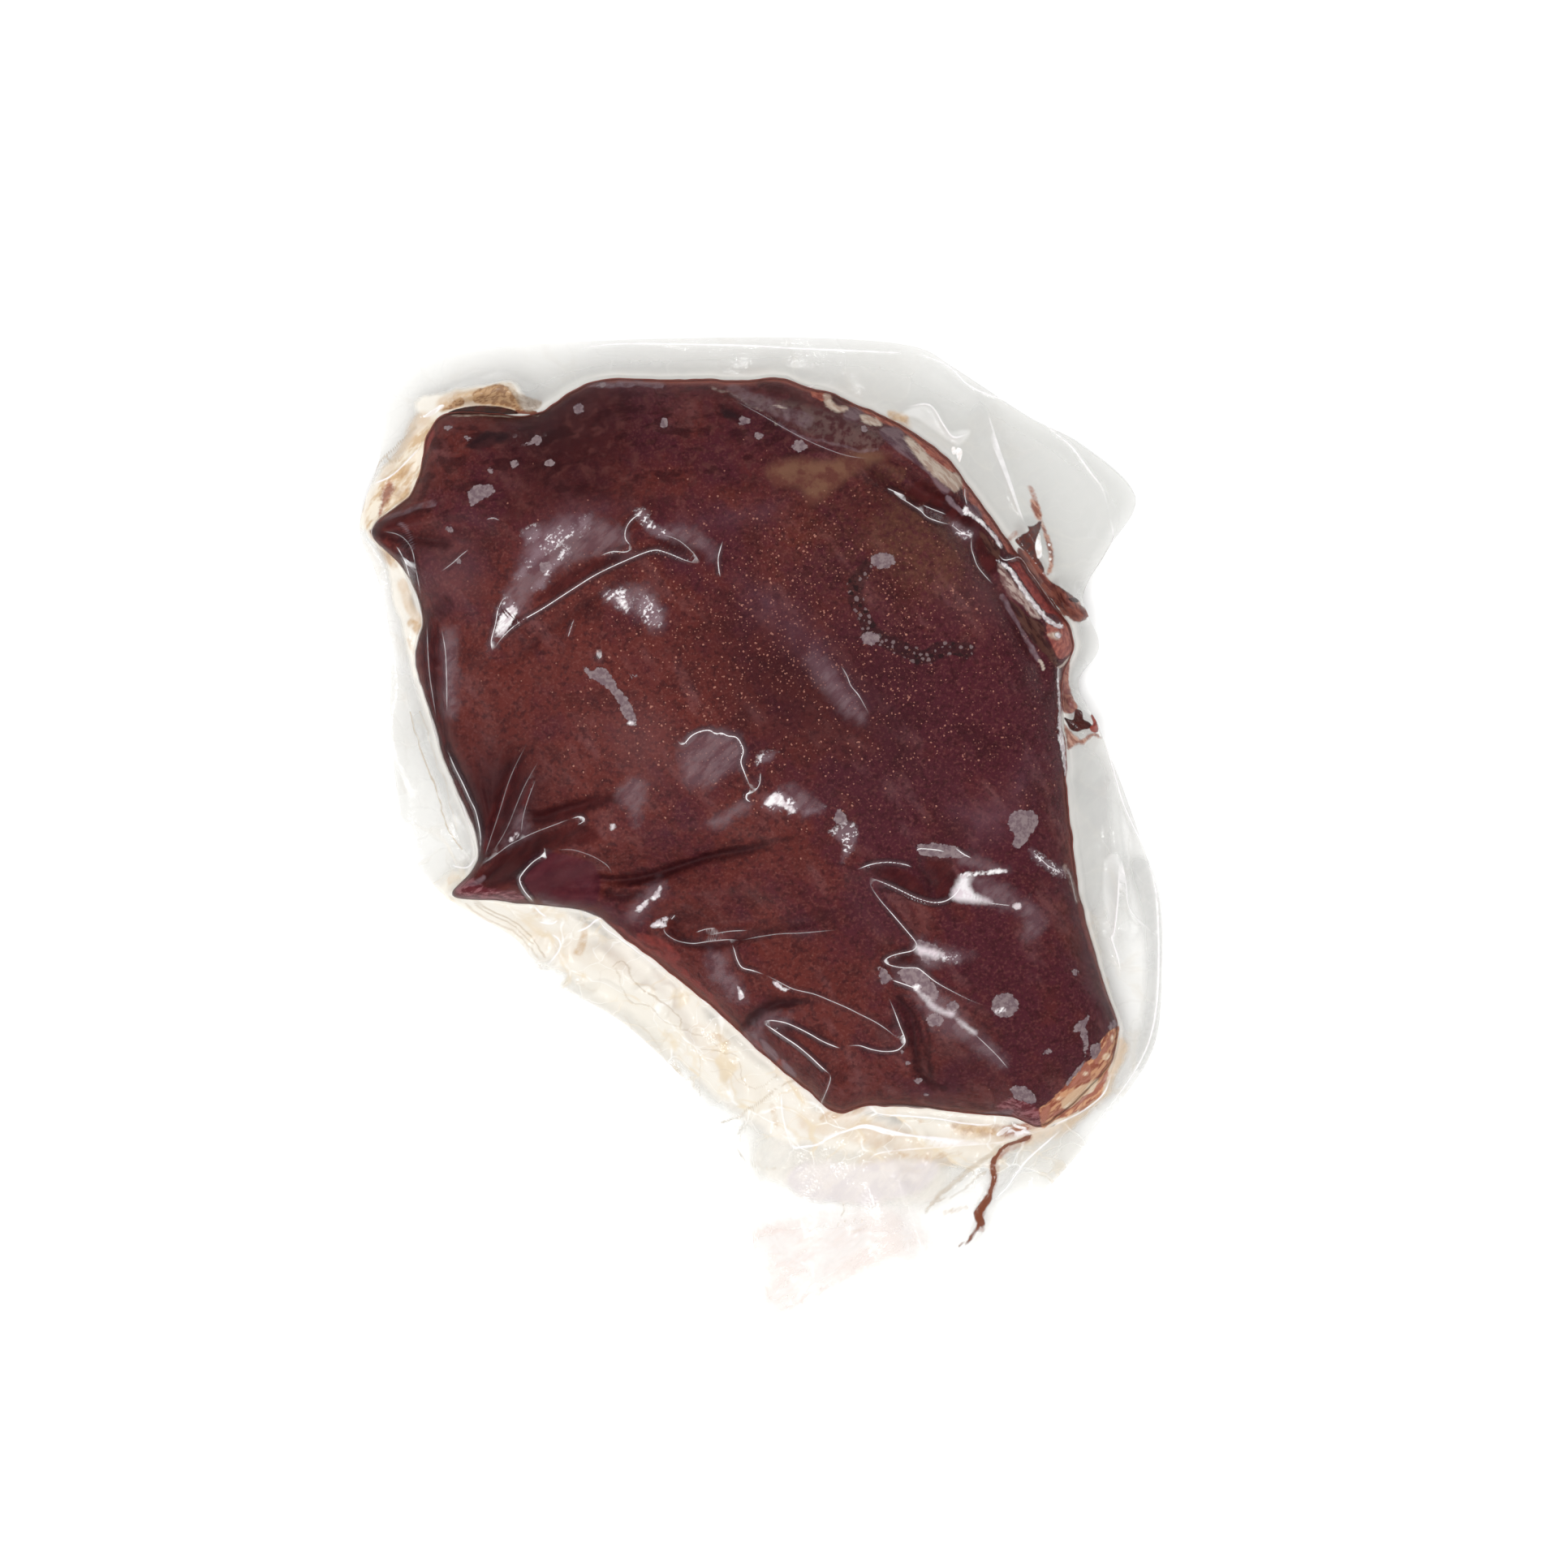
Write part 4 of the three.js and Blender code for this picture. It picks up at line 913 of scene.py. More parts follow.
overPatches = {                          # soft light, air under the film, broken and full glints
    # painted sheen of soft light on the film
    "sheenVeil": {"colours": ((160, 134, 140), (132, 100, 108)), "most": 0.36, "soft": 2.0, "ragged": 4.0,
        "grain": 2.4, "outlines": [
        [(-63, 60), (-60, 66), (-57, 73), (-53, 78), (-44, 80.5), (-37, 78.5), (-32, 75.5), (-36, 72.5),
         (-43, 70.5), (-49, 67.5), (-54, 63), (-59, 60)],
        [(-66, 47.5), (-62, 55), (-58, 58), (-56, 62), (-59, 62), (-62.5, 60), (-64.5, 54)],
        [(-38.5, 61.5), (-33, 63.2), (-28, 63.5), (-24.5, 59), (-23.5, 54.5), (-26, 52), (-29, 55.5),
         (-32, 57), (-36, 59)],
        [(-24, 77), (-18, 77.5), (-11, 72), (-11.5, 70), (-16, 73), (-21, 75)],
        [(-19, 24.5), (-17, 27), (-12, 28.5), (-6, 27), (-4, 23), (-5, 19.5), (-9, 17), (-12, 15),
         (-17, 14.5), (-19, 17.5), (-19.5, 21)],
        [(-12.5, 5.5), (-8, 8.5), (-4, 10.8), (-2.5, 10), (-6, 7), (-11, 4.8)],
        [(3, 12), (8, 14.5), (11, 12.5), (14.5, 9.2), (12, 7.8), (8.5, 8)],
        [(11, 46), (14, 46.5), (20, 39), (25, 33), (25, 30), (20, 33), (14, 40)],
        [(51, -8), (58, -9), (63, -12.5), (68, -15.5), (69.5, -18.5), (67, -22), (64.5, -22.5),
         (64.5, -17.5), (58, -15), (52.5, -13)],
        [(49, -2), (56, -4.5), (60, -6), (58, -6.5), (51, -5), (48, -3.5)],
        [(33, -31), (38, -29.7), (43, -35), (49, -42), (55, -47.5), (60, -52.5), (58.5, -54), (51, -48),
         (43, -44.5), (37, -36)],
        [(38, -23), (45, -25), (52, -27), (45, -28.5), (40, -29.5)],
        [(-32.5, -18), (-29, -12), (-24.5, -8.5), (-23.5, -10.5), (-27, -15), (-30, -18.5)],
        [(-12.5, -25.5), (-9.5, -26.5), (-7.5, -30.5), (-5, -34), (-3.5, -38), (-6.5, -38), (-10, -35),
         (-12.5, -31)],
        [(-1.5, -44.5), (0, -42.3), (4, -41.2), (6.8, -42), (5.5, -43.2), (1.5, -43), (0, -45), (0.3, -49),
         (-2, -50), (-4.2, -47)],
        [(-62.8, 0), (-61, 5), (-59, 8.5), (-57, 4.5), (-57, 2.3), (-60, 1)],
        [(-77.5, 53), (-75, 53), (-74.5, 42), (-75, 32), (-77, 32), (-78, 42)],
        [(-35, 12), (-31, 16.5), (-28.5, 15), (-29, 10), (-30.5, 5), (-32, 9)],
        [(46, 80), (49, 78), (52.5, 77), (51.5, 75), (48, 76)],
    ]},
    # painted broad lilac sheen of soft light on the film
    "sheenHaze": {"colours": ((136, 98, 112), (116, 76, 90)), "most": 0.24, "soft": 2.0, "ragged": 3.0,
        "deep": 9.0, "grain": 5.0, "turn": None, "outlines": [
        [(-8, 67), (3.6, 65), (13.5, 57), (23, 44), (28, 33), (22, 32), (14, 39), (5, 47.5), (-4, 56)],
        [(-30, 76), (-10, 84), (8, 84), (4, 78), (-12, 76)],
        [(44, 10), (56, 14), (66, 24), (68, 12), (60, 0), (50, 0)],
        [(-62, 70), (-54, 82), (-38, 86), (-28, 82), (-44, 76), (-52, 66)],
    ]},
    "trappedAir": {"colours": ((124, 104, 110), (150, 132, 134)), "most": 0.78, "soft": 0.12,
        "ragged": 1.8, "turn": None, "dots": [(-44.7, 107.1, 1.4, 1.4), (-54.7, 99.3, 1.1, 1.3),
        (-60.2, 93.3, 1, 1), (-51.5, 93.5, 1.2, 0.9), (-39.1, 113.1, 1.2, 0.7), (-23.7, 103.3, 1, 1.4),
        (-4.1, 103.9, 1.4, 1), (-0.3, 100.3, 1.2, 0.8), (-76.2, 77.5, 0.8, 1.1), (-73.9, 69.5, 0.8, 0.7),
        (29.7, 69.5, 2.8, 2), (26.7, 50.5, 2.2, 1.6), (9.5, 97.6, 1.9, 1.4), (-76.5, 102.5, 1, 0.6),
        (-71.8, 99.7, 0.8, 0.7), (-56.8, 98.3, 0.7, 0.5), (-66, 91.8, 0.7, 0.8), (-31.5, 41.5, 1, 0.6),
        (76.9, -31, 0.8, 1), (-52.5, 68, 1.6, 1.4), (36, -53, 0.8, 0.5), (38.5, -57.5, 0.9, 0.7),
        (40.5, -61, 0.7, 0.5), (34.5, -50.5, 0.6, 0.4), (59.5, -38.8, 3.3, 3), (42.5, -42.5, 2, 1.6),
        (25.3, 102, 0.8, 0.7), (46.7, -38.9, 1.6, 1.3), (70, -50.2, 1.3, 0.7)], "outlines": [
        [(-71.5, 86.5), (-70, 87.8), (-67, 88.3), (-65.3, 88), (-65.2, 86.3), (-67, 85), (-69, 84),
         (-70.5, 83), (-71.3, 84.5)],
        [(60.5, 7), (62.5, 8.5), (66.5, 8.5), (67.8, 7), (67.5, 4.5), (65.5, 2), (64.5, 0.5), (62.5, -0.7),
         (61.5, 0), (62, 2.5), (60.7, 4.5)],
        [(61, -59.5), (62.5, -58.5), (65, -59), (66.5, -60.5), (67.5, -62.5), (66.5, -63.5), (64, -62.5),
         (62, -61.5)],
        [(76.5, -45.5), (77, -43.5), (78.5, -42.5), (80.2, -41.5), (80, -43.5), (78.5, -45)],
        [(78, -45), (79.5, -44.5), (80, -49), (79.5, -51), (78.5, -47)],
        [(81, -49), (83.5, -48.5), (82.5, -52), (81, -52)],
        [(75, -59), (75.5, -56.8), (78, -54), (79.5, -52.3), (79, -54), (76.5, -57)],
        [(84.8, -45), (85.5, -43.5), (87, -42.8), (87.6, -44.2), (86, -45.2)],
        [(-43.5, 44), (-41.5, 42.8), (-38.5, 43.5), (-36, 41), (-34.5, 38), (-32.5, 36), (-31, 33),
         (-30.3, 30.5), (-31.5, 29.5), (-32.5, 30.5), (-34, 33), (-35, 35.5), (-37, 38), (-40, 40),
         (-42, 41.5)],
        [(29, -29.5), (31, -31), (32, -32.5), (30, -34), (29, -32)],
        [(37.8, -23), (41, -23.5), (44.5, -25.5), (44.5, -27), (42, -28), (40, -29), (39, -27)],
        [(33, -31), (35, -30), (39, -30), (41.5, -33), (43.5, -36), (42.5, -38), (40, -36.5), (37, -34.5)],
        [(38, 0), (44, 0.5), (48, -0.5), (50, -2.5), (47, -3), (42, -2.5), (39, -2)],
        [(17.8, 6.5), (19, 9), (20.5, 7.5), (21, 5.5), (19, 5)],
    ]},
    "sparkle": {"colours": ((160, 136, 144), (252, 246, 248)), "soft": 1.0, "ragged": 3.0, "grain": 2.4,
        "specks": 0.4, "outlines": [
        [(-58, 76.5), (-55, 78), (-54, 75.5), (-57, 74)],
        [(-61, 64.5), (-57.5, 68.5), (-56, 71), (-54, 73), (-51, 76.5), (-46, 78), (-45, 76.5),
         (-47.5, 75), (-50, 72.5), (-52.5, 71.8), (-55, 69.5), (-58, 66)],
        [(-48.5, 72), (-47.3, 74), (-46.8, 72), (-49.5, 68.8), (-51.5, 66.5), (-52.5, 64), (-55.5, 62.5),
         (-55, 64), (-52.8, 66.3), (-50.5, 69.8)],
        [(-44, 79.5), (-41, 80.5), (-42.5, 78), (-43.5, 75.5), (-44.5, 77)],
        [(-30.5, 82), (-28.5, 82), (-26.5, 79), (-22, 76), (-23, 75), (-27.5, 77), (-29.5, 80)],
        [(-38.5, 61), (-35.5, 62.3), (-32, 62.2), (-32.3, 57), (-34, 58), (-36, 59.5)],
        [(-29.5, 61), (-26.5, 60.5), (-24.5, 57), (-24.5, 54), (-27, 54), (-29, 56.5)],
        [(-1, 20), (0.5, 22.3), (3.5, 22.5), (2, 20.8)],
        [(0.5, 10), (3, 13), (6.5, 12.5), (9, 8.3), (6, 8.5)],
        [(17.5, 3.5), (19.5, 4.8), (22.5, 5), (23.5, 2.5), (22, -1), (20, -3.5), (20.5, 0), (18.5, 2)],
        [(44.5, -26.5), (48.5, -26.5), (48.5, -27.8), (44.5, -27.8)],
        [(66, -1), (69, -3), (75, -6.5), (74.5, -7.3), (69, -5), (66.5, -2.5)],
        [(10, 8.5), (13, 8.8), (15, 9.5), (13.5, 8), (10.5, 7.8)],
        [(-62.5, 60.5), (-60, 59), (-59.3, 57), (-62, 58), (-63.5, 57)],
        [(47, 78.7), (49, 77.3), (51.5, 76.7), (50.5, 75.5), (48, 76.5)],
    ]},
    "sheen": {"colours": ((255, 250, 252), (236, 222, 228)), "most": 0.85, "soft": 0.7, "ragged": 2.2,
        "deep": 1.5, "grain": 2.4, "turn": None, "outlines": [
        [(47.2, -9.5), (48.5, -7.3), (51.8, -7), (51.4, -9.6), (53.8, -12), (57, -14), (50.7, -14),
         (46.4, -13)],
        [(37.6, -24), (41, -24.9), (44.8, -26.4), (43.6, -27.6), (40.5, -27), (37.8, -26)],
        [(37.4, -34.6), (40.8, -36.6), (42.8, -38.8), (45.2, -40), (47.4, -40.8), (46.8, -41.6), (44, -41),
         (41.6, -39.8), (39.8, -37.8)],
        [(47.6, -41.8), (50.2, -43.4), (52.8, -45.6), (52.2, -46), (49.2, -44.2)],
    ]},
    "glint": {"colours": ((252, 248, 248), (214, 200, 204)), "soft": 0.35, "ragged": 1.5,
        "dots": [(-61.5, 1.5, 0.6, 0.6), (-60, 2.7, 0.5, 0.5), (-36.2, 4.6, 0.6, 0.7),
        (-31.5, 30, 0.8, 0.6), (72.8, 51.5, 0.8, 0.6)], "outlines": [
        [(-64.8, 50.5), (-63, 51.3), (-60.5, 55), (-59.5, 57.5), (-60.5, 58.5), (-62.5, 57.5), (-64, 54.5)],
        [(-35.5, 60.6), (-33, 60), (-32.4, 57), (-34, 58.5)],
        [(57, -41), (57.3, -39.9), (59, -39.5), (60, -39.8), (59, -40.5), (57.7, -40.6)],
        [(48.8, -7), (54, -6.4), (59.8, -5.8), (60, -6.4), (54, -7), (49, -7.6)],
        [(61.5, -14.4), (63, -14.1), (63.7, -15), (62.4, -15.5)],
        [(-30.8, -15.9), (-29.2, -14.4), (-27.6, -13.3), (-27.8, -14.4), (-29.5, -15.9)],
        [(-26.9, -12.9), (-25.6, -11.4), (-24.5, -9.8), (-24.2, -10.4), (-24.9, -12.2), (-26.3, -13.5)],
        [(37.3, -34), (38.5, -33.6), (39.2, -34.4), (38.2, -35), (37.2, -34.7)],
        [(0.8, 10.2), (2.5, 12.2), (4, 12.8), (5.5, 11.7), (6.3, 10.5), (8.5, 8.5), (7.5, 8), (5.5, 9.6),
         (4, 10)],
        [(-27, -19.8), (-25, -18.2), (-23, -17.6), (-22.8, -18.2), (-24.3, -18.8), (-23.3, -19.7),
         (-25, -20.1)],
        [(-5.9, -34), (-5, -35.2), (-4.2, -37.4), (-5.2, -37.6), (-5.3, -36)],
        [(2.8, -33), (4.3, -33.5), (5.6, -34.8), (7, -35), (6, -35.5), (4.6, -35)],
        [(72.8, 41), (73.4, 36), (74, 31), (74.4, 26), (74.9, 20), (75.2, 16.5), (74.6, 18), (74, 21.5),
         (73.4, 24.5), (72.9, 26.5), (73.1, 28), (72.8, 30), (73.1, 32), (72.9, 36)],
        [(57.8, 69.8), (60, 68.9), (61.8, 67.3), (63.4, 64.8), (65.4, 61.8), (67.4, 59.3), (69.4, 57),
         (70.8, 55.4), (72.2, 54.6), (74, 54.2), (73.6, 53.2), (71.8, 53.7), (70.2, 54.6), (68.6, 56.3),
         (66.6, 58.6), (64.6, 61.2), (62.6, 64.2), (61.2, 66.6), (59.8, 68.1)],
        [(50.3, 83.2), (51.3, 81.8), (53.2, 80.3), (55.7, 78), (57.7, 75.7), (59.2, 72.8), (58.6, 73),
         (57.2, 75.2), (55.2, 77.5), (52.8, 79.7), (51, 81), (49.5, 81), (49.4, 81.6)],
    ]},
}


def furrowDepth(distance, share, width, depth):
    return depth * bell(distance / width) * smoothRamp((1 - share) * 3)


def swellOfFilm(spots):                  # low unevenness and furrows that liver and film share
    swell = 0.5 * cloudNoise(spots.x, spots.y, 16, 21) - overLines(furrows, spots, furrowDepth)
    return smoothRamp(spots.inward / 4) * swell


def coat(paint, stains):                 # each stain covers those under it: share, colour
    cover, shade = stains[0]
    for share, colour in stains[1:]:
        cover = 1 - (1 - cover) * (1 - share)
        shade = paint.mix(share / (cover + 0.0001), shade, colour)
    return cover, shade


def stain(paint, field, colour, most, ragged, grain, low, high):   # a painted field with ragged edges
    rough = 1 - ragged + 2 * ragged * paint.streaks(grain, 2.2, 40)
    return paint.band(paint.field(field) * rough, low, high) * most, colour


def filmFinish(name, stains, light, fade, free=None):  # clear film, stains, painted highlight lines, glow and shade at the crests, gloss over all
    paint = Paint(name)
    away, white = paint.field("crestAway"), paint.field("crestHighlight")
    unevenly = 0.2 + 1.9 * paint.noise(2.4, 3.0)
    # painted highlight line along each crest, painted shade beside it and painted glow around it
    line = (1 - paint.band(away, 0.0, fade)) * white * unevenly
    beside = paint.band(away, 0.2, 0.6) * (1 - paint.band(away, 0.8, film["glow"])) * white
    glow = (1 - paint.band(away, 0.0, film["glow"])) * white
    crests = [(line.atMost(0.9), film["white"])]
    cover, shade = coat(paint, [(glow * 0.15, light)] + stains(paint, beside) + crests)
    loose = free if free else paint.band(glow, 0.1, 0.9)
    relief = paint.add("ShaderNodeBump", None, {"Height": paint.noise(0.9, 2.0) * loose, "Strength": 0.5,
                                                "Distance": 0.0003})
    window = paint.add("ShaderNodeBsdfTransparent", None, {"Color": film["clear"]})
    matte = paint.add("ShaderNodeBsdfPrincipled", None, {"Base Color": shade, "Roughness": 0.6,
                                                         "Specular IOR Level": 0.0})
    roughness = film["cling"] - (film["cling"] - film["gloss"]) * loose
    gloss = paint.add("ShaderNodeBsdfGlossy", None, {"Color": (1, 1, 1, 1), "Normal": relief,
                                                     "Roughness": roughness})
    shine = paint.add("ShaderNodeFresnel", None, {"IOR": film["refraction"], "Normal": relief})
    shown = shine.atMost(film["mostGloss"]) * (film["clingShine"] + (1 - film["clingShine"]) * loose)
    return paint.finish(paint.blend(shown, paint.blend(cover, window, matte), gloss))


def overStains(paint, beside):
    # rim colour painted over the shadow under the liver's rim, tissue at the corner, painted shade beside the
    # crests, then the film's patches
    border = paint.band(paint.field("border"), 0.0, 0.6)
    corner = [(share * border, colour) for share, colour in patchesOf(paint, cornerPatches)]
    rim = [(border * paint.field("redness"), film["margin"])]
    return rim + corner + [(beside * 0.4, film["shadow"])] + patchesOf(paint, overPatches)


def makeTopFilm():
    angle, share, quads, border = discGrid(film["cells"], film["crowding"])
    even = spotsAt(angle, inward=share * rimTowards(angle))
    spots = gathered(creases, even, smoothRamp((even.inward - 0.4) / 2))
    spots.x, spots.y = np.where(even.inward > 0, spots.x, even.x), np.where(even.inward > 0, spots.y, even.y)
    spots.inward = np.where(even.inward > 0, spots.inward, 0)
    out = film["offset"] * (1 - smoothRamp(spots.inward / 4))
    x, y = spots.x + out * np.cos(spots.angle), spots.y + out * np.sin(spots.angle)
    rise = swellOfFilm(spots) + overLines(creases, spots, crestHeight) * smoothRamp(spots.inward / 2)
    points = toMetres(x, y, liverUpper(spots) + rise + film["offset"])
    fields = {**patchFields({**overPatches, **cornerPatches}, spots), **crestFields(creases, spots)}
    # where rim colour is painted over the shadow under the liver's rim
    fields["border"], fields["redness"] = bell(spots.inward / 0.4), heightTowards(redness, spots.angle)
    finish = filmFinish("filmOverLiver", overStains, film["sheenVeil"], film["fade"])
    newPiece("filmOverLiver", points, quads.tolist(), fields, finish, ["bag_film"])
    return angle.ravel()[border]


# The skirt: the upper film from the liver's rim to the cut edge, and the lower film under all of it.
skirt = {
    "loose": 0.8, "fade": 0.36, "rings": 70, "crowding": 1.25, "lift": 0.55,
    "cutFrom": 0.975, "cutEase": 0.02, "bellyShares": [0.01, 0.03, 0.06, 0.1, 0.16, 0.35, 0.65],
    # The grey colour is painted shade on the skirt, greyest on the sides away from the light.
    "shadeGrey": seen(218, 218, 214), "cream": seen(252, 246, 235), "pink": seen(236, 200, 190),
    "ochre": seen(196, 158, 112), "rust": seen(150, 78, 44), "blood": seen(120, 62, 38),
    "smear": seen(184, 164, 138), "edge": seen(206, 206, 204), "buff": seen(212, 182, 148),
    # The near-rim colour is painted over the shadow under the liver's rim.
    "nearRim": seen(238, 234, 228), "shade": seen(240, 234, 222), "ridge": seen(255, 255, 253),
    "hollow": seen(230, 212, 182),
}
skirtCreases = [                         # line, width, height, strength of the painted highlight along the crest
    ([(-53, -30), (-50, -26), (-50, -23.5), (-52, -22)], 0.6, 0.5, 0.9),
    ([(-55, -19), (-52, -19.5), (-50, -18.5)], 0.5, 0.4, 0.9),
    ([(7.5, -75), (10.5, -74.5), (15, -74)], 0.8, 0.6, 0.9),
    ([(8, -76), (5.5, -67.5), (5, -61)], 0.6, 0.4, 0.6),
    ([(16, -71.5), (21, -70.5), (26, -69), (34, -71), (45.5, -73), (54.5, -73)], 0.9, 0.6, 0.9),
    ([(75, -69.5), (66, -77.5), (61, -84.5), (57.5, -88)], 1.1, 1.0, 1),
    ([(26, -78.5), (29, -76), (37.5, -75), (51.5, -74), (60, -73), (75, -68.5)], 1.2, 0.8, 0.4),
    ([(88.5, -2.5), (88, -12.5), (87, -21.5), (86.5, -23), (88, -27.5), (89, -32.5)], 1.0, 1.0, 1),
    ([(81.8, 32.3), (84.8, 26.3), (86.8, 19.6), (89.2, 11), (92.2, 4.3), (95.2, -1.7), (97, -7.7),
      (98, -15.7), (98.3, -30), (97.3, -43), (94, -53), (86, -65), (76, -77)], 0.5, 0.3, 1),
    ([(-46.4, 122.2), (-34, 123.6), (-5.3, 123), (10.3, 122.2), (30, 121.4), (36, 121.3)], 0.5, 0.2, 0.9),
    ([(88.5, -2.5), (90, -9), (91, -16), (96.5, -21.5)], 1.0, 0.9, 0.6),
    ([(-83, 46), (-80.5, 29), (-75.5, 16.5), (-70, -1.5)], 1.2, 1.0, 0.7),
    ([(-77, -5), (-72.5, -5.5), (-70, -2.5)], 0.9, 0.8, 0.8), ([(-89.5, 71), (-88.5, 69.5)], 0.8, 0.7, 1),
    ([(-96, 89), (-90.5, 91.5), (-83.5, 98.5)], 0.9, 0.8, 0.8),
    ([(35.5, 108), (41.5, 108.5), (45, 103.5), (47.5, 100.5), (51.5, 101.5)], 0.7, 0.6, 0.7),
    ([(56.5, 100.5), (60.5, 90.5), (64.5, 79.5)], 0.8, 0.6, 0.5),
    ([(8.5, 113.5), (11, 112.5), (13.5, 113.5)], 0.9, 0.8, 1),
    ([(36, 121.5), (42, 120), (46.9, 117.5), (51, 113.5), (56.2, 111), (62, 109.3), (67.4, 106.3),
      (72, 102), (76.7, 97.9), (81, 92), (84.2, 87.6), (86, 81)], 0.5, 0.3, 0.9),
    ([(86, 81), (86.8, 76), (85.5, 72), (81.4, 62.5), (78.8, 60.8)], 0.5, 0.3, 0.6),
    ([(55.5, 108), (58, 100), (61, 91), (63.5, 83), (65, 79)], 0.5, 0.3, 0.5),
    ([(-57, -13), (-55.1, -16.1), (-52.9, -17.9)], 0.6, 0.5, 1),
    ([(25, -66.2), (34, -66.6), (43, -67.4), (50, -68.6), (55, -69), (58, -68.6)], 0.5, 0.3, 1),
    ([(70, -69.4), (75, -67.8), (80, -65.3), (84.6, -61.4), (86.6, -56)], 0.5, 0.3, 0.7),
    ([(60.5, -71.4), (61.6, -70.2), (63.4, -71), (65.2, -70.2), (66.4, -71.6)], 0.4, 0.2, 1),
    ([(-46, -21.6), (-43, -20.4), (-40.5, -18.4), (-38, -17.6)], 0.4, 0.2, 0.9),
    ([(-40, -18), (-38.5, -20.5), (-34, -23.5), (-29, -27.5), (-22, -33)], 0.4, 0.2, 0.8),
    ([(8.5, -75.3), (13.8, -73.9), (19.2, -71.3), (25.4, -69.7), (31.6, -71.3), (42.3, -72.1),
      (59.2, -73.9)], 0.7, 0.5, 0.8),
]
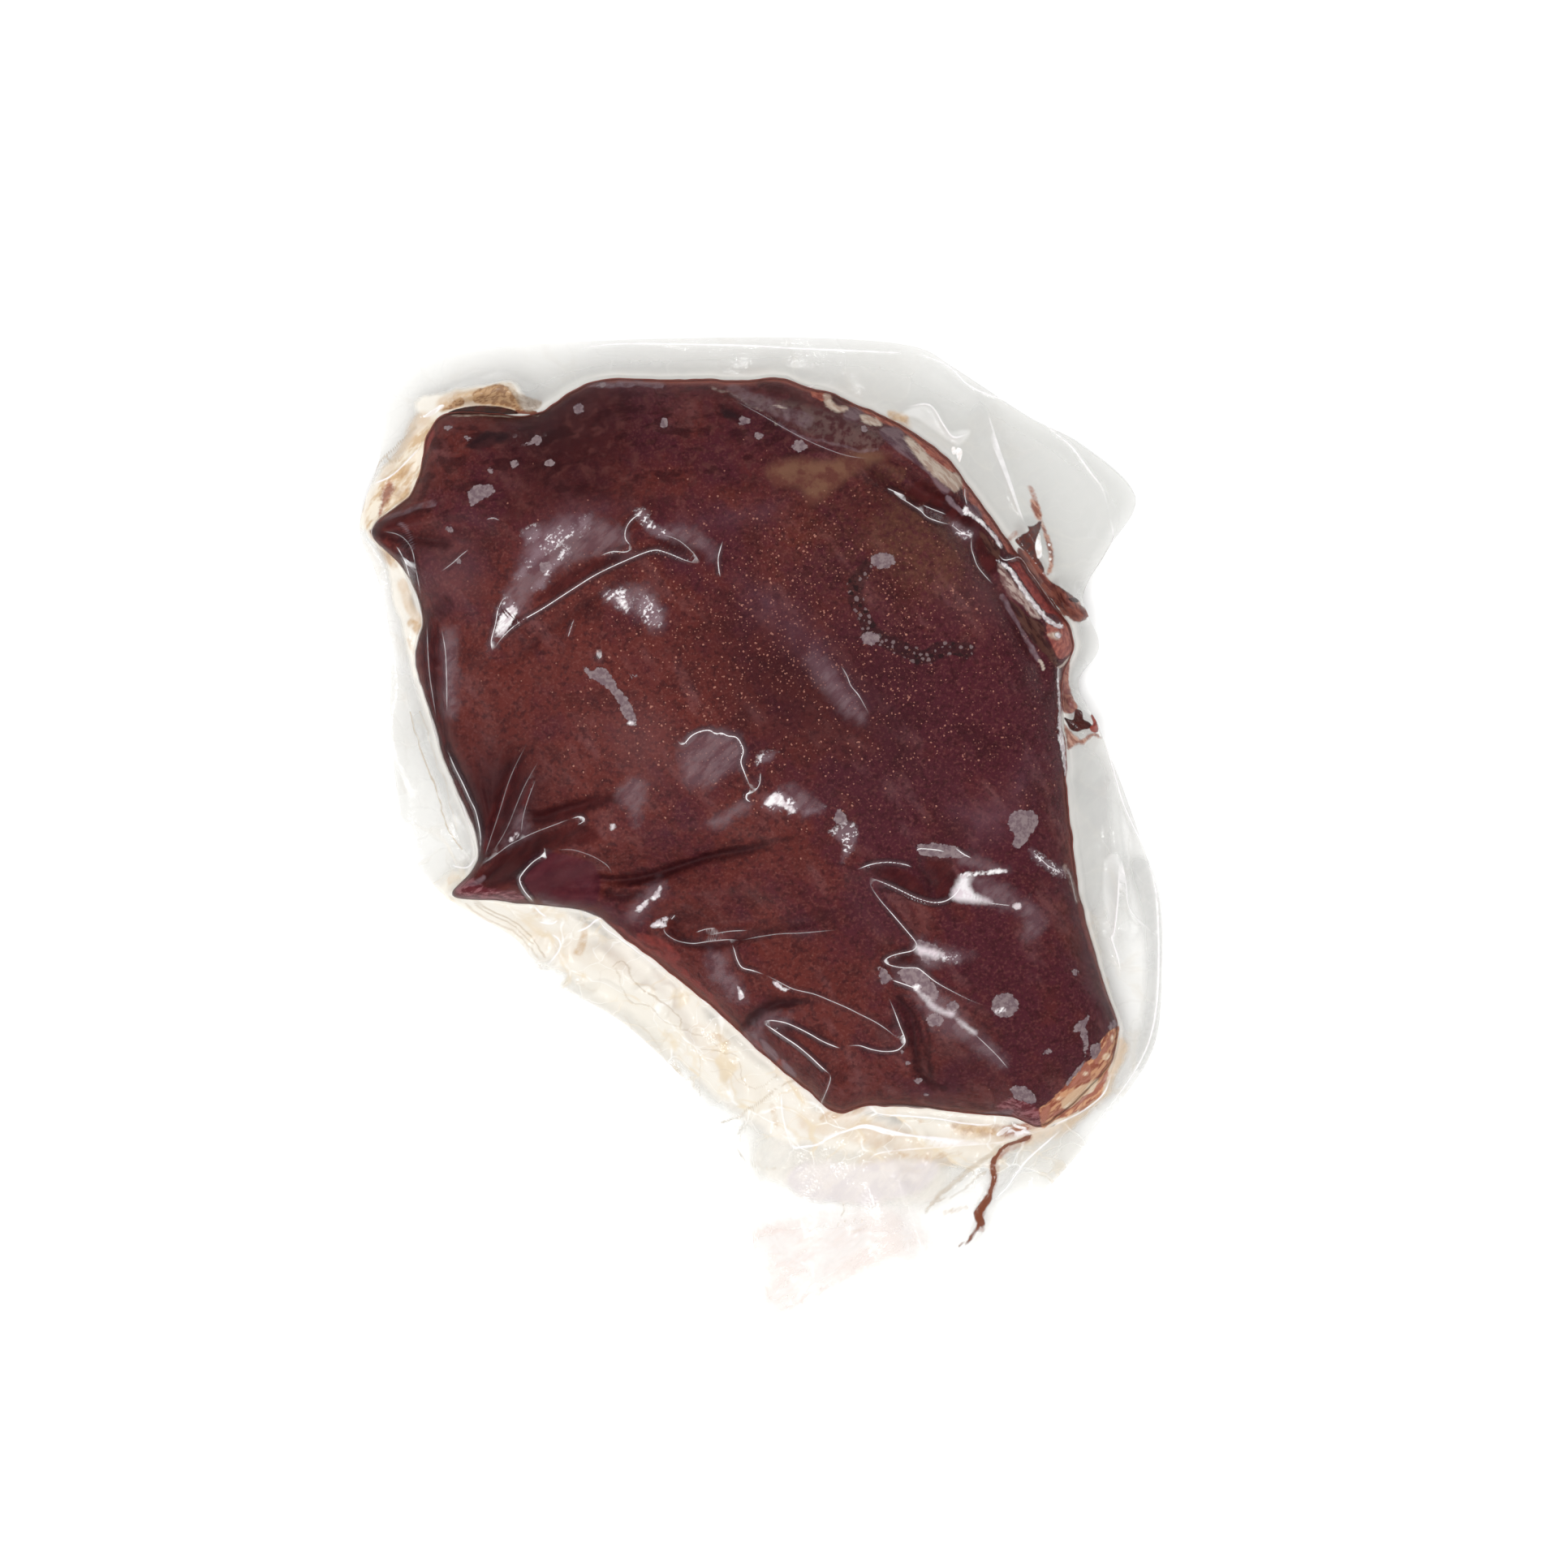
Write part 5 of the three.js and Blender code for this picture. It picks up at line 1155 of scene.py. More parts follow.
skirtMarks = {                           # line, half width, strength
    "cream": [
        ([(-73.5, -13.5), (-56.5, -19.5), (-37, -30.5), (-24.5, -39.5), (-15, -49.5), (-5.5, -58),
          (7.5, -67.5)], 9, 1),
        ([(8, -68.5), (22, -71), (39.5, -73), (57.5, -72)], 7, 0.8),
        ([(-82.5, 42.5), (-79, 26), (-75, 12), (-71.5, 1), (-72.5, -4)], 4, 0.25),
        ([(-79.5, 106.5), (-85, 95), (-92, 88.5), (-95.5, 80.5)], 5, 1),
        ([(-83, 108.5), (-74, 109.5), (-63.5, 111.5), (-60, 109)], 3.4, 1),
        ([(-90.5, 70), (-86.5, 53), (-83.5, 43)], 3, 0.8),
        ([(4.5, -77), (22, -80.5), (39.5, -82.5)], 10, 0.5),
    ],
    "buff": [
        ([(-83, 104), (-88, 95), (-92, 88.5), (-95, 80.5)], 4, 0.8),
        ([(-78, 109), (-70, 110), (-61, 108.5)], 3, 0.9), ([(-88, 64), (-85, 55)], 2, 0.7),
        ([(12, -68), (26, -71), (40, -74), (56, -73)], 4, 0.7),
        ([(-60, -20), (-48, -25), (-36, -30)], 4.5, 0.35),
        ([(26, -78), (36, -77), (45, -77.5), (53, -76.5)], 3, 0.6),
        ([(-15, -46), (-8, -54), (0, -62)], 4, 0.4),
        ([(60, -72), (72, -70), (82, -62), (88, -50)], 3.5, 0.9),
    ],
    "pink": [
        ([(10, -76), (24, -82), (38, -84)], 13, 0.45), ([(6, -92), (18, -97), (26, -100)], 10, 0.3),
        ([(1.5, -95), (20, -99)], 1.6, 0.7), ([(-1, -106), (15, -100.5)], 1.2, 0.7),
        ([(4, -116.5), (23, -106)], 1.2, 0.8), ([(32.5, -121), (41, -115.5)], 1, 0.7),
        ([(9.5, -92), (28.5, -89.5)], 1.4, 0.6), ([(9, -110), (18, -104)], 1, 0.7),
        ([(4, -87), (18, -86)], 1.4, 0.5), ([(24, -104), (33, -99)], 1, 0.5),
    ],
    "ochre": [
        ([(-78, 108), (-73, 110), (-63.5, 112.5), (-61, 110)], 2, 0.9),
        ([(-68.5, 109), (-63, 108), (-59.5, 107)], 1.2, 0.8), ([(-90.5, 89.5), (-87, 92)], 1.4, 0.9),
        ([(-92, 89), (-91, 85), (-93.5, 81.5)], 1.2, 1), ([(-90, 84), (-87, 87)], 1.2, 0.7),
        ([(-82, 98.5), (-81, 99.5)], 0.9, 0.9), ([(-95.5, 77), (-92, 74), (-91, 69.5)], 1.8, 0.8),
        ([(-86.5, 54.5), (-84.5, 53.5)], 1.6, 1), ([(-87, 51), (-83, 42.5)], 1, 0.6),
        ([(-76.5, -8.5), (-75, -8.5)], 1.6, 0.6),
        ([(-43.2, -20), (-44.2, -23.5), (-45.3, -26.5)], 1.3, 0.9), ([(-76.8, -10.5), (-76, -7)], 1.4, 0.4),
        ([(-56.5, -16), (-54, -18)], 1, 0.5), ([(-11.5, -47), (-8, -48.5)], 1.2, 0.7),
        ([(-45, -34.5), (-43.5, -35.5)], 0.9, 0.4), ([(3, -64.5), (4, -69.5)], 1.3, 0.6),
        ([(15.5, -67), (19.5, -66.5), (24.5, -65)], 1.6, 0.8),
        ([(32.5, -76), (41, -77), (49, -76.5)], 1, 0.7), ([(45.5, -91), (51, -89.5)], 1, 0.6),
        ([(38.5, -67.5), (39.5, -68)], 1, 0.7), ([(50.5, -69.5), (54.5, -70.5), (57.5, -71)], 1.4, 0.8),
        ([(32, 106), (35.5, 105.5)], 1.5, 0.9), ([(81.5, -19.5), (81, -20.5)], 0.8, 0.4),
        ([(85, -33), (85.5, -36.5)], 0.8, 0.5), ([(-88.5, 16), (-87.5, 13)], 1, 0.3),
        ([(-83, 9.5), (-83.5, 11.5)], 1, 0.25),
    ],
    "rust": [
        ([(-80.3, 103), (-82.8, 97), (-87.5, 88), (-91.5, 82)], 1.2, 0.5),
        ([(77.5, -24), (80.5, -36), (84, -44)], 1.0, 0.25), ([(83, -61.5), (79, -65.5)], 1.2, 0.8),
        ([(57.8, -79), (57, -85), (54.6, -90), (54.4, -95)], 1.5, 0.6),
        ([(60, -71), (66, -69.5), (69, -67.5)], 2, 0.8), ([(66, 88), (67.5, 84.5), (68.5, 81)], 1, 0.7),
        ([(66.5, -72), (61, -75), (58, -77.5)], 1.2, 0.6), ([(61.5, 75.5), (63, 76.5)], 1.2, 0.6),
    ],
    "blood": [
        ([(66.5, -72), (61, -74), (57.8, -77.5)], 0.5, 1),
        ([(57.8, -77.5), (57.4, -82.8), (56.3, -87.3)], 0.8, 1),
        ([(56.3, -87.3), (53.8, -90.8), (54.7, -93.5)], 1.4, 1),
        ([(54.7, -93.5), (52, -97), (49.4, -99.3)], 0.6, 0.7), ([(-60, 106.5), (-56, 106)], 1, 1),
        ([(-96.5, 77.5), (-91.5, 75.5), (-88.5, 73.5)], 0.6, 0.9),
    ],
    "smear": [
        ([(-93.5, 95.5), (-90, 94.5), (-86.5, 96.5), (-83.5, 98.5)], 0.4, 0.6),
        ([(-93.5, 92.5), (-90.5, 95), (-87, 98.5), (-84, 100.5)], 0.4, 0.5),
        ([(-98, 83), (-97, 88.5), (-94.5, 94), (-90.5, 98), (-85, 103)], 0.5, 0.6),
        ([(-86.5, 33), (-82.5, 20), (-77.5, 5), (-73.5, -1)], 0.3, 0.7),
        ([(-84, 33), (-79, 18), (-74.5, 3)], 0.25, 0.6),
        ([(-71, -13), (-64, -17.5), (-57, -22.5), (-53.5, -28)], 0.3, 0.7),
        ([(-70.5, -14.3), (-63, -19.3), (-56, -25)], 0.3, 0.6),
        ([(59, -75), (51.5, -80.5), (45.5, -85), (41, -90.5)], 0.9, 0.6),
        ([(55.5, -80.5), (49, -85.5), (42, -89)], 0.5, 0.5),
        ([(15.5, -82.5), (17.5, -84.5), (18.5, -87.5), (20.5, -90.5), (19, -94)], 0.25, 0.6),
        ([(19, -94), (22, -92.5), (25, -93), (24.5, -95), (22, -96)], 0.25, 0.5),
        ([(-36.5, -30), (-34.5, -29), (-32, -32.5), (-28.5, -36), (-24.5, -39), (-20.5, -41.5),
          (-19.5, -43), (-20, -45)], 0.3, 0.6),
        ([(-36, -30.5), (-34.5, -35), (-31.5, -39), (-27.5, -40), (-25, -43), (-20.5, -44.5)], 0.3, 0.5),
        ([(-20, -45.5), (-17, -46), (-13.5, -47.5), (-11, -49.5)], 0.3, 0.5),
        ([(-15, -51), (-15, -54.5), (-15.5, -58), (-15, -65)], 0.3, 0.4),
        ([(-14.5, -50.5), (-9, -51), (-5.5, -52), (-4.5, -58), (-2, -60.5), (1, -59), (3.5, -56.5)],
          0.3, 0.5),
        ([(-12.5, -55.5), (-8.5, -55.5), (-6, -58), (-3.5, -60)], 0.3, 0.4),
        ([(-31, -43), (-27.5, -47), (-24.5, -52), (-20.5, -57.5), (-18, -61), (-15, -65)], 0.3, 0.4),
        ([(-11.5, -70), (-6.5, -67.5), (-1.5, -64.5), (4, -60), (9.5, -57.5)], 0.5, 0.6),
        ([(-5.5, -74), (-4.5, -69), (-1.5, -65.5)], 0.3, 0.4),
        ([(-9, -71.5), (-6, -76), (-2, -79), (3.5, -80)], 0.4, 0.5),
        ([(-73, -14.5), (-66, -19), (-59.5, -23.5), (-55.5, -27.5), (-54.5, -30.5)], 0.4, 0.5),
        ([(-34.5, -42.5), (-31, -47), (-26, -53.5), (-20.5, -60.5)], 0.3, 0.4),
        ([(-71.5, -13.5), (-65.5, -16.5), (-59.5, -20.5)], 0.3, 0.4),
    ],
}
skirtPatches = {                         # dried juice and tissue in the skirt, painted light and shade on its folds, painted glints
    # painted shade on folds of the skirt and beside its cut edge
    "skirtFoldShade": {"colours": ((206, 206, 204), (214, 214, 211)), "most": 0.4, "soft": 1.0, "grain": 5.0,
        "outlines": [
        [(-86, 32), (-81.6, 32.3), (-77.5, 22.5), (-69.9, -3.2), (-73.3, -0.9), (-78.6, 12.7)],
        [(75.2, 24.3), (83.8, 21), (85.8, 12.3), (86.2, 4.3), (84.5, -6.4), (81.8, -15.7), (78.5, -15.7),
         (77.2, 4.3)],
        [(77, 45), (78.3, 36), (82, 33.5), (84, 37), (80.5, 45)],
        [(91.5, -4), (95, -3), (98.2, -14), (99, -28), (98.6, -38), (97.2, -50), (93.5, -56), (93, -50),
         (94.5, -40), (94.8, -28), (94, -16)],
        [(54, 109), (57, 104), (60, 97), (62, 88), (60, 88), (56, 96), (52, 104)],
    ]},
    # painted light on folds of the skirt
    "litFold": {"colours": ((252, 252, 250), (240, 240, 238)), "most": 0.4, "soft": 0.6, "ragged": 0.4,
        "grain": 5.0, "turn": -50, "outlines": [
        [(34.5, 106), (36.5, 107.5), (41, 108.3), (43, 107), (45, 103), (47, 101.8), (50, 102.3),
         (51.5, 102), (49, 98.7), (46, 100), (42.5, 102.5), (38, 105.5)],
        [(85.5, -3), (88, -2), (88, -12), (86.5, -20), (84.5, -12)],
    ]},
    "tailHaze": {"colours": ((228, 220, 220), (238, 230, 226)), "most": 0.8, "soft": 1.2, "ragged": 3.0,
        "grain": 5.0, "outlines": [
        [(6, -82.4), (12.7, -87.9), (20, -88.5), (27.1, -89), (34, -87), (40.5, -84.5), (44, -79),
         (34, -77.5), (22.7, -79), (9.3, -79)],
    ]},
    "pinkHaze": {"colours": ((252, 240, 236), (246, 222, 214)), "most": 0.35, "soft": 3.0, "ragged": 5.0,
        "grain": 5.0, "turn": 30, "outlines": [
        [(-6, -97.9), (2.7, -93.5), (18.3, -92.4), (36, -91.2), (40.5, -100), (29.4, -104.6), (18.3, -108),
         (7.2, -115.7), (0.5, -113.5), (2.7, -104.6)],
    ]},
    "creamBand": {"colours": ((246, 236, 218), (212, 182, 146)), "soft": 0.5, "ragged": 1.2, "grain": 2.4,
        "outlines": [
        [(-80, 106), (-83, 103), (-86, 100), (-89, 95), (-93, 90), (-96, 86), (-97.5, 81), (-97, 77.5),
         (-94.5, 79), (-91.5, 81.5), (-88.5, 84), (-85, 86.5), (-83, 91), (-81.5, 95), (-80.5, 99),
         (-79.5, 104)],
    ]},
    "lip": {"colours": ((190, 152, 112), (142, 102, 70)), "soft": 0.25, "ragged": 0.8, "outlines": [
        [(-70.5, 109), (-70.5, 111.3), (-67, 112.8), (-64.5, 113.4), (-62.5, 112.8), (-60.5, 110.5),
         (-58.5, 107), (-62, 107.9), (-66, 108.5)],
        [(-78.5, 107), (-76, 109), (-73.5, 110.2), (-73, 108.5), (-75, 107.7)],
    ]},
    "lipEnd": {"colours": ((172, 158, 142), (146, 126, 106)), "most": 0.75, "soft": 0.4, "ragged": 0.8,
        "turn": -50, "outlines": [
        [(-62.5, 112.8), (-60, 111.5), (-56.5, 110), (-54, 109.2), (-54.5, 107.5), (-57, 106.6),
         (-59, 107.5), (-60.5, 110.3)],
    ]},
    "juice": {"colours": ((204, 168, 122), (176, 132, 88)), "most": 0.6, "soft": 1.2, "ragged": 2.4,
        "grain": 2.4, "turn": None, "outlines": [
        [(-91, 91.5), (-88, 93.7), (-86.5, 94), (-87, 92), (-89, 90), (-91, 90)],
        [(-81.5, 104.5), (-79.7, 104), (-80, 100), (-81, 97), (-82.7, 98), (-82.7, 102)],
        [(-89, 87.5), (-86.5, 88), (-86, 86), (-90, 84.5), (-91, 86)],
        [(-95, 76.8), (-91, 74), (-90, 71), (-91.5, 69.5), (-94, 73)],
        [(31, 106.2), (33, 106.5), (35, 106), (36.3, 104.5), (36.3, 103), (35, 103.5), (33.5, 104.5)],
        [(47, -68.7), (54, -69), (59, -69.5), (57, -71.5), (52, -72), (48, -71)],
    ]},
    "dried": {"colours": ((168, 100, 70), (136, 70, 50)), "most": 0.85, "soft": 0.7, "ragged": 2.4,
        "outlines": [
        [(-93, 88), (-91.5, 89.7), (-90.5, 88.5), (-91, 86.5), (-92.5, 84), (-94.3, 80.3), (-93.7, 84)],
        [(-81.3, 99.3), (-80, 99), (-80.3, 97.3), (-82, 97.8)],
    ]},
    "tabBrown": {"colours": ((184, 140, 120), (134, 78, 62)), "soft": 0.4, "ragged": 1.2, "turn": -50,
        "outlines": [
        [(69, 80), (70.5, 77), (71.8, 73.5), (72, 70.5), (71.5, 67.5), (70.5, 66.5), (71, 70),
         (70.5, 73.5), (69.5, 77)],
        [(73, 57.5), (76, 58.5), (78.3, 60), (79, 58), (79.8, 55.8), (79, 55.7), (78, 56.5), (76, 56.5),
         (74, 56.5)],
        [(74.8, 30), (76, 28.5), (77.5, 27), (79, 26), (80, 26.5), (81, 27.5), (83, 27.5), (84, 26.5),
         (82, 27), (79.5, 25), (78, 25), (76.5, 24), (75.5, 23.5), (75, 27)],
        [(66.3, 85), (67.7, 85), (69.2, 80.3), (68.3, 80)],
    ]},
    "neck": {"colours": ((122, 62, 58), (160, 108, 92)), "most": 0.92, "soft": 0.25, "ragged": 0.6,
        "turn": -50, "outlines": [
        [(73.3, 45), (75.7, 46), (76, 40), (77, 36), (78, 34), (76.5, 32.5), (74.3, 33), (74, 38)],
    ]},
    "tabDark": {"colours": ((74, 46, 46), (94, 44, 36)), "most": 0.96, "soft": 0.2, "ragged": 0.6,
        "outlines": [
        [(62.5, 75), (64.5, 76.5), (66, 77.5), (65.5, 78.5), (67, 78.6), (69, 80), (68.8, 78), (68, 75.5),
         (67.5, 73.5), (68.5, 70.5), (69.5, 68.5), (70, 66.5), (71, 64.5), (69.5, 65), (67, 68.5),
         (65, 72), (63, 74.2)],
        [(70.5, 65.5), (72, 64.5), (74.5, 62.8), (77.5, 60.8), (78.3, 60.2), (76.5, 59), (73, 58.5),
         (71.5, 60.5), (70, 62.5), (69, 64)],
    ]},
    "tabRoot": {"colours": ((96, 50, 46), (132, 78, 66)), "most": 0.94, "turn": -50, "outlines": [
        [(63.2, 73.2), (66.5, 70.9), (71.1, 65.3), (76.7, 60.6), (80.9, 56.9), (78.1, 55), (73, 58.7),
         (67.4, 64.8), (63.2, 69.9)],
    ]},
    "slit": {"colours": ((44, 12, 10), (66, 20, 16)), "most": 0.97, "soft": 0.15, "ragged": 0.3,
        "grain": 2.4, "outlines": [
        [(-77, 106.2), (-75, 107.3), (-72, 108), (-68, 108.3), (-63, 107.8), (-60.5, 107), (-59.5, 106.2),
         (-62, 105.9), (-70, 105.9), (-75, 106)],
        [(75.5, 60.7), (77.8, 60.7), (78.1, 59.9), (76, 60)],
        [(77.5, 33.5), (79, 33), (79.5, 31), (80.5, 30.5), (81.5, 29.5), (81, 28.8), (79.5, 28.5),
         (78, 28), (76.5, 28.5), (75.5, 30), (74.8, 31.5), (77, 31)],
    ]},
    "tabRed": {"colours": ((150, 54, 38), (116, 36, 30)), "most": 0.95, "soft": 0.2, "ragged": 0.4,
        "outlines": [
        [(81.3, 32), (82, 32.2), (83, 29.5), (83.2, 28), (82, 27.8), (81, 28.7), (81.8, 30)],
    ]},
    # painted glints on the film
    "bright": {"colours": ((255, 255, 255), (240, 232, 226)), "most": 0.95, "soft": 0.15, "ragged": 0.4,
        "dots": [(71, 74, 0.35, 0.35), (71.2, 72.2, 0.35, 0.35), (71.2, 70.4, 0.35, 0.35)], "outlines": [
        [(67.5, 74), (68.5, 77), (69, 74), (69, 71), (68.3, 70.5), (67.6, 72.5)],
        [(-84.5, 105.5), (-83, 106), (-81, 107.2), (-78.5, 108.7), (-78, 108.3), (-79.5, 107),
         (-82, 105.6)],
        [(-82, 97.6), (-81, 97.2), (-81.5, 96.9), (-82.3, 97.3)],
        [(47, 98), (47.7, 98.3), (48, 96.5), (47.3, 96.2)],
        [(48.4, 98), (49.5, 97.5), (49, 94.3), (48.3, 95.5)],
        [(58, -71.4), (60.2, -69.6), (61.8, -69.6), (60.6, -70.6), (58.8, -71.8)],
        [(61.6, -67.8), (62.8, -68.9), (65.6, -69.7), (64.5, -70), (62.6, -69.6)],
    ]},
}
greyness = [                             # direction in degrees, painted shade of the skirt near the liver
    (0, 0.6), (20, 0.5), (35, 0.62), (55, 0.75), (75, 0.75), (100, 0.7), (125, 0.6), (145, 0.25),
    (160, 0.2), (200, 0.15), (215, 0), (300, 0), (325, 0.25), (342, 0.7), (360, 0.6),
]
outerGreyness = [                        # the same near the cut edge
    (0, 0.2), (20, 0.25), (35, 0.42), (55, 0.38), (75, 0.22), (100, 0.15), (130, 0.1), (160, 0.1),
    (180, 0.3), (200, 0.25), (215, 0), (325, 0), (342, 0.1), (360, 0.2),
]
veins = [                                # direction in degrees, how much fine smears show
    (0, 0), (140, 0), (170, 0.1), (205, 0.5), (225, 0.6), (265, 0.5), (290, 0.3), (310, 0.2), (330, 0),
    (360, 0),
]
cutShows = [                             # direction in degrees, how much the cut edge shows
    (0, 0.6), (60, 0.5), (90, 0.35), (130, 0.4), (160, 0.6), (195, 0.5), (215, 0.25), (235, 0), (315, 0),
    (330, 0.4), (360, 0.6),
]
foldedness = [                           # direction in degrees, how much folded film shows
    (0, 0.05), (130, 0.05), (150, 0.15), (190, 0.12), (205, 0.6), (225, 1), (285, 1), (300, 0.7),
    (315, 0.15), (360, 0.05),
]


def stainsOf(paint, rows):               # field, most, raggedness, grain, low, high
    return [stain(paint, field, skirt[field], *values) for field, *values in rows]


def skirtStains(paint, beside):
    # painted cover over the shadow at the liver's rim, painted shade, then cream, buff and pink stains
    coats = stainsOf(paint, (
        ("nearRim", 0.85, 0.1, 5, 0.0, 0.8), ("shadeGrey", 0.9, 0.03, 5, 0.0, 1.0),
        ("cream", 0.85, 0.5, 5, 0.0, 0.9), ("buff", 0.8, 0.8, 2.4, 0.0, 1.2),
        ("pink", 0.28, 0.9, 1.2, 0.2, 1.6)))
    folded, patchy = paint.field("folded"), paint.band(paint.noise(9), 0.42, 0.6)
    # crumpled facets: painted shade on some facets, juice in the hollows, painted highlights along the ridges
    for size, turn, most in ((15, -40, 0.8), (7, 20, 0.4)):
        shade, away = paint.facets(size, turn)
        hollow, ridge = 1 - paint.band(away, 0.01, 0.06), 1 - paint.band(away, 0.0, 0.025)
        coats += [(paint.band(shade, 0.3, 0.9) * folded * most, skirt["shade"]),
                  (hollow * folded * patchy * most, skirt["hollow"]),
                  (ridge * folded * (1 - patchy) * most, skirt["ridge"])]
    coats += stainsOf(paint, (
        ("ochre", 0.7, 0.9, 1.2, 0.1, 1.4), ("rust", 0.85, 0.8, 1.2, 0.1, 1.1),
        ("smear", 0.6, 0.4, 1.2, 0.1, 0.8), ("blood", 0.95, 0.5, 1.2, 0.15, 0.8),
        ("edge", 0.5, 0.1, 2.4, 0.2, 0.9)))
    return coats + patchesOf(paint, {**skirtPatches, **cornerPatches})


def underStains(paint, beside):
    return stainsOf(paint, [("edge", 0.3, 0.1, 2, 0.2, 0.9)])


def cutEdge(spots):                      # the cut edge, where the film catches light
    near = smoothRamp((spots.outward - skirt["cutFrom"]) / skirt["cutEase"])
    return heightTowards(cutShows, spots.angle) * near


def skirtFields(spots):
    loose, looser = wandered(spots, 0.9), wandered(spots, 3)
    fields = {name: overLines(marks, loose, markStrength) for name, marks in skirtMarks.items()}
    fields.update(crestFields(skirtCreases, spots))
    fields.update(patchFields({**skirtPatches, **cornerPatches}, spots))
    # painted shade of the skirt, from near the liver to the cut edge
    inner, outer = heightTowards(greyness, spots.angle), heightTowards(outerGreyness, spots.angle)
    fields["shadeGrey"] = inner + (outer - inner) * spots.outward
    ridges = np.clip(1 - np.abs(cloudNoise(looser.x, looser.y, 11, 61, 2)) / 0.06, 0, 1)
    fields["smear"] = np.maximum(fields["smear"], 0.6 * heightTowards(veins, spots.angle) * ridges)
    fields["edge"] = cutEdge(spots)
    away = spots.outward * (spots.edge - spots.rim)
    fields["folded"] = heightTowards(foldedness, spots.angle) * (1 - smoothRamp((away - 12) / 14))
    # painted over the shadow under the liver's rim
    fields["nearRim"] = bell(away / 1.8)
    return fields


def crumple(spots):                      # fine creases of the lower and tail skirt, as ridges of folded noise
    turned = np.degrees(spots.angle) % 360
    where = smoothRamp((turned - 200) / 20) * smoothRamp((330 - turned) / 25) * smoothRamp(spots.outward * 5)
    ridges = 1 - np.abs(cloudNoise(spots.x, spots.y, 13, 44)) * 3
    return where * 0.9 * np.clip(ridges, 0, 1) ** 2 * smoothRamp((1 - spots.outward) * 6)


def skirtGrid(rim, shares):              # places of the skirt from the rim outwards, by direction and share
    angle, outward = np.meshgrid(rim, shares, indexing="ij")
    return spotsAt(angle, outward=outward), outward


def strips(number):                      # faces of a grid that closes on itself round the liver
    return np.vstack([ringQuads(number[:, k + 1], number[:, k]) for k in range(number.shape[1] - 1)]).tolist()


def makeSkirt(rim, shares):
    even, outward = skirtGrid(rim, shares)
    freedom = smoothRamp(outward * 12 - 0.2) * smoothRamp((1 - outward) * 12 - 0.2)
    spots = gathered(skirtCreases, even, freedom)
    spots.inward = np.where(outward > 0, -1.0, 0.0)
    spots.outward = np.where(freedom > 0, spots.outward, outward)
    nearLiver = 1 - smoothRamp(outward * 8)
    height = filmUnderside(spots) + skirt["lift"] + crumple(spots)
    height += overLines(skirtCreases, spots, crestHeight) * smoothRamp(outward * 12)
    height += (layers["thickness"] + layers["gap"] + film["offset"] - skirt["lift"]) * nearLiver
    out = film["offset"] * nearLiver
    points = toMetres(spots.x + out * np.cos(spots.angle), spots.y + out * np.sin(spots.angle), height)
    # the ridge colour is also the painted glow at the skirt's crests
    finish = filmFinish("filmSkirt", skirtStains, skirt["ridge"], skirt["fade"], skirt["loose"])
    newPiece("filmSkirt", points, strips(np.arange(outward.size).reshape(outward.shape)), skirtFields(spots),
             finish, ["bag_film"])


def makeUnderFilm(rim, shares):
    skirtSpots = skirtGrid(rim, shares[::-1])[0]
    angle, part = np.meshgrid(rim, np.array(skirt["bellyShares"]), indexing="ij")
    bellySpots = spotsAt(angle, inward=part * rimTowards(angle))
    x, y = np.hstack([skirtSpots.x, bellySpots.x]), np.hstack([skirtSpots.y, bellySpots.y])
    z = np.hstack([filmUnderside(skirtSpots), filmUnderside(bellySpots)])
    number = np.arange(x.size).reshape(x.shape)
    points = np.vstack([toMetres(x, y, z), toMetres(*hub, 0)])
    fields = {"edge": np.hstack([cutEdge(skirtSpots), np.zeros(part.shape)])}
    finish = filmFinish("filmUnder", underStains, skirt["ridge"], skirt["fade"], skirt["loose"])
    newPiece("filmUnder", points, strips(number) + fanTo(number[:, -1], x.size), fields, finish,
             ["bag_film"])


makeLiver()
rimAngles = makeTopFilm()
skirtShares = np.linspace(0, 1, skirt["rings"] + 1) ** skirt["crowding"]
makeSkirt(rimAngles, skirtShares)
makeUnderFilm(rimAngles, skirtShares)

# Floor, light and camera.
studio = {
    "floor": 3.0, "floorColour": (0.94, 0.94, 0.935, 1.0), "drop": 0.0002, "walls": 0.75, "overhead": 0.12,
    "camera": 1.4, "level": 0.01, "frameWidth": 0.3864, "frameCentre": (5.7, 15.1), "sensor": 36.0,
}
softboxes = [                            # name, direction, height angle, distance, size, power, in gloss
    ("leftBox", 195, 60, 1.1, 0.14, 0.9, True),
    ("frontBox", 262, 60, 1.1, 0.14, 0.9, True),
    ("ceiling", 230, 86, 1.5, 1.0, 25.0, False),
]


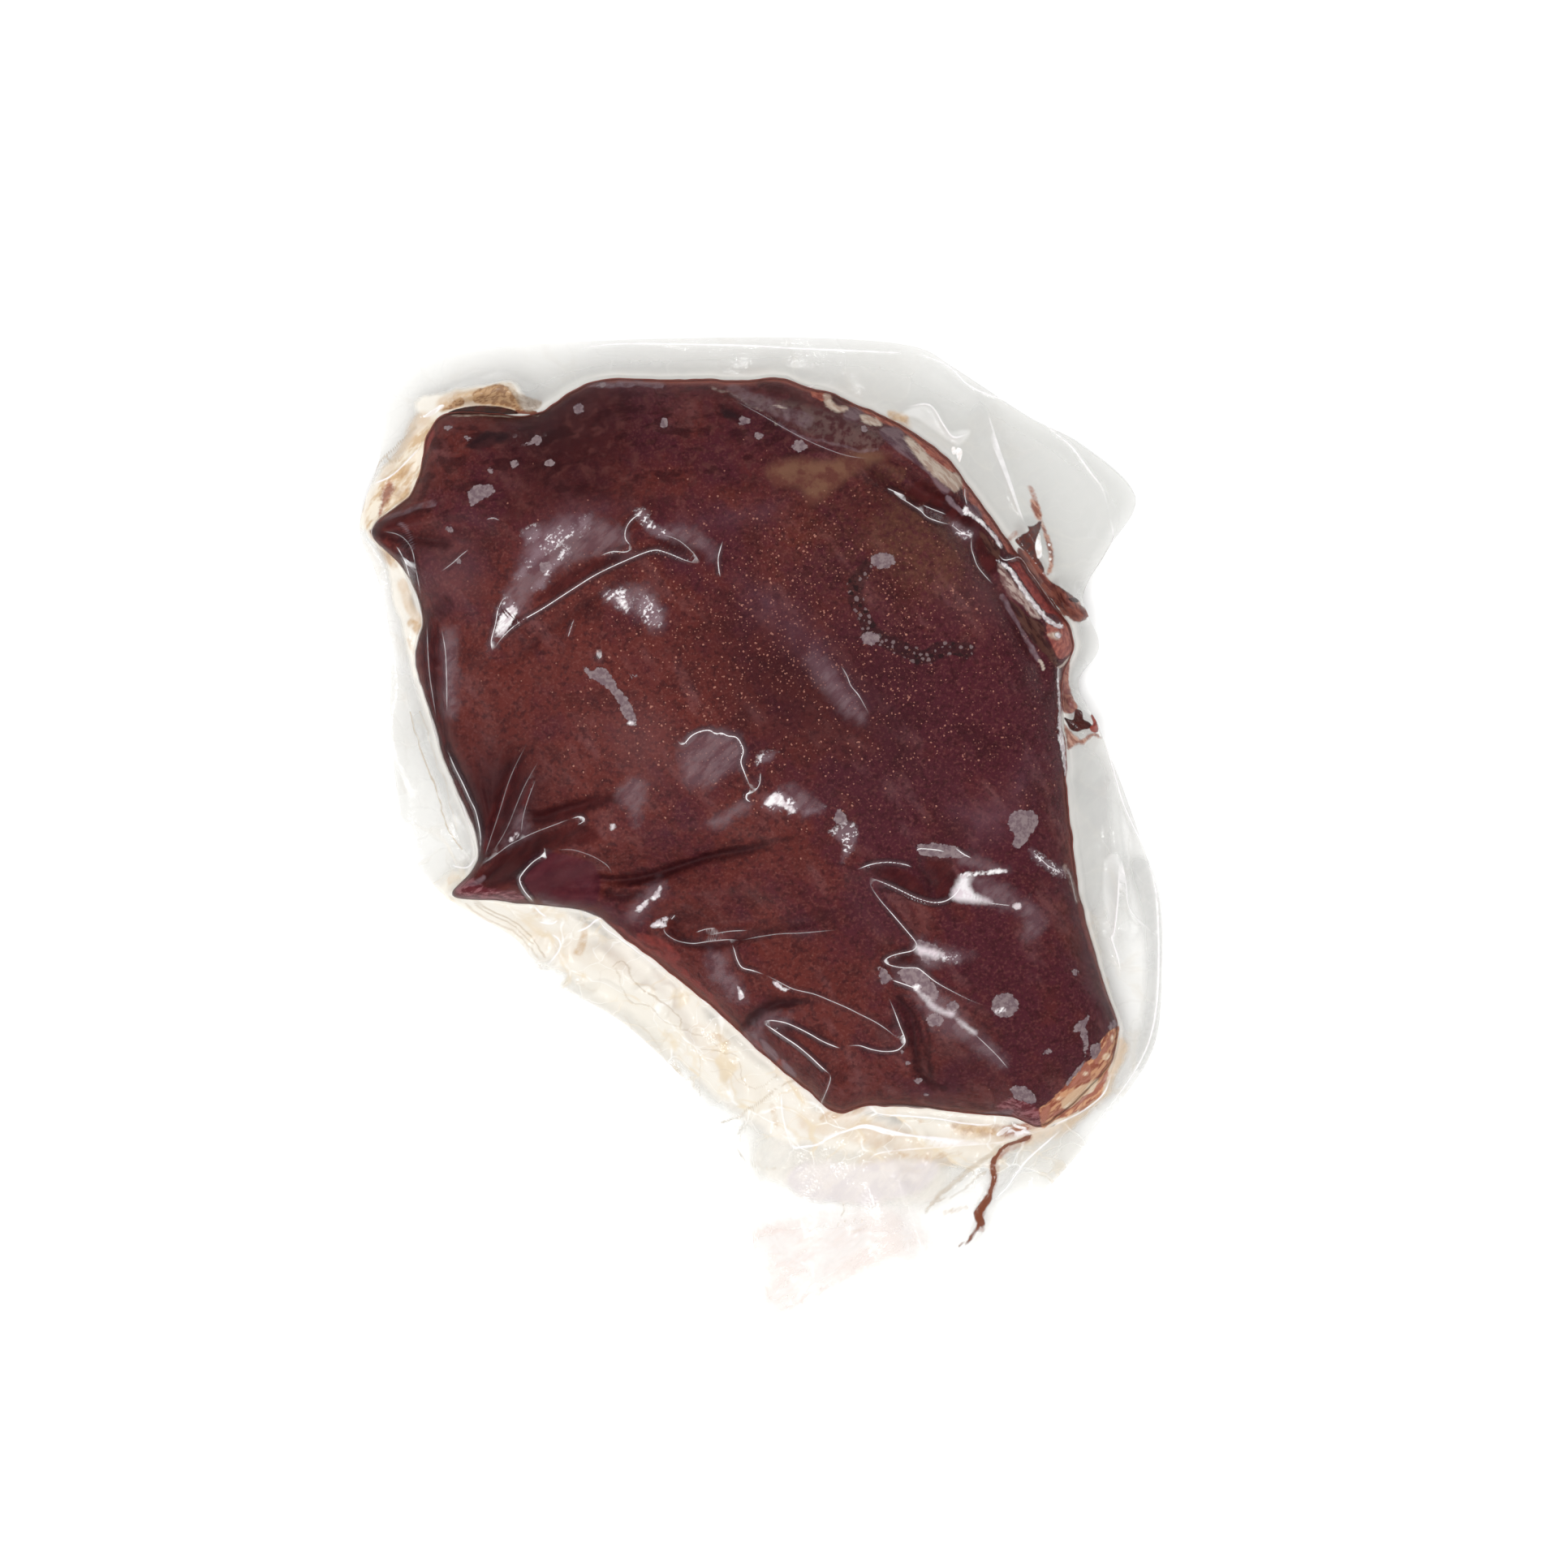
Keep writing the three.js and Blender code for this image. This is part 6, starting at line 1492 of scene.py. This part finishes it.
def makeFloor():
    half = studio["floor"]
    mesh = bpy.data.meshes.new("floor")
    corners = [(-half, -half, 0), (half, -half, 0), (half, half, 0), (-half, half, 0)]
    mesh.from_pydata(corners, [], [(0, 1, 2, 3)])
    paint = Paint("paleFloor")
    matte = paint.add("ShaderNodeBsdfDiffuse", None, {"Color": studio["floorColour"]})
    mesh.materials.append(paint.finish(matte))
    floor = newObject("floor", mesh)
    floor.location.z = -studio["drop"]


def makeSoftbox(name, direction, rise, distance, size, power, glossy):
    data = bpy.data.lights.new(name, "AREA")
    data.size, data.energy = size, power
    lamp = newObject(name, data)
    flat, turn, lift = math.cos(math.radians(rise)) * distance, math.radians(direction), math.radians(rise)
    lamp.location = (flat * math.cos(turn), flat * math.sin(turn), math.sin(lift) * distance)
    lamp.rotation_euler = (-lamp.location).to_track_quat("-Z", "Y").to_euler()
    lamp.visible_glossy = glossy


def makeCamera():
    data = bpy.data.cameras.new("camera")
    camera = newObject("camera", data)
    x, y = [(at - offset) * 0.001 for at, offset in zip(studio["frameCentre"], centre)]
    camera.location = (x + middle[0], y + middle[1], studio["camera"])
    data.sensor_width = studio["sensor"]
    data.lens = studio["sensor"] * (studio["camera"] - studio["level"]) / studio["frameWidth"]
    bpy.context.scene.camera = camera


def makeWorld():                         # bright walls that darken evenly to the ceiling
    world = bpy.data.worlds.new("studioAir")
    world.use_nodes = True
    air = world.node_tree
    towards, parts = air.nodes.new("ShaderNodeTexCoord"), air.nodes.new("ShaderNodeSeparateXYZ")
    fading, background = air.nodes.new("ShaderNodeMapRange"), air.nodes["Background"]
    fading.inputs["To Min"].default_value = studio["walls"]
    fading.inputs["To Max"].default_value = studio["overhead"]
    air.links.new(towards.outputs["Generated"], parts.inputs[0])
    air.links.new(parts.outputs["Z"], fading.inputs["Value"])
    air.links.new(fading.outputs[0], background.inputs["Strength"])
    background.inputs["Color"].default_value = (1, 1, 1, 1)
    bpy.context.scene.world = world


makeFloor()
for softbox in softboxes:
    makeSoftbox(*softbox)
makeCamera()
makeWorld()
bpy.context.scene.view_settings.view_transform = "Standard"
print("stage set")
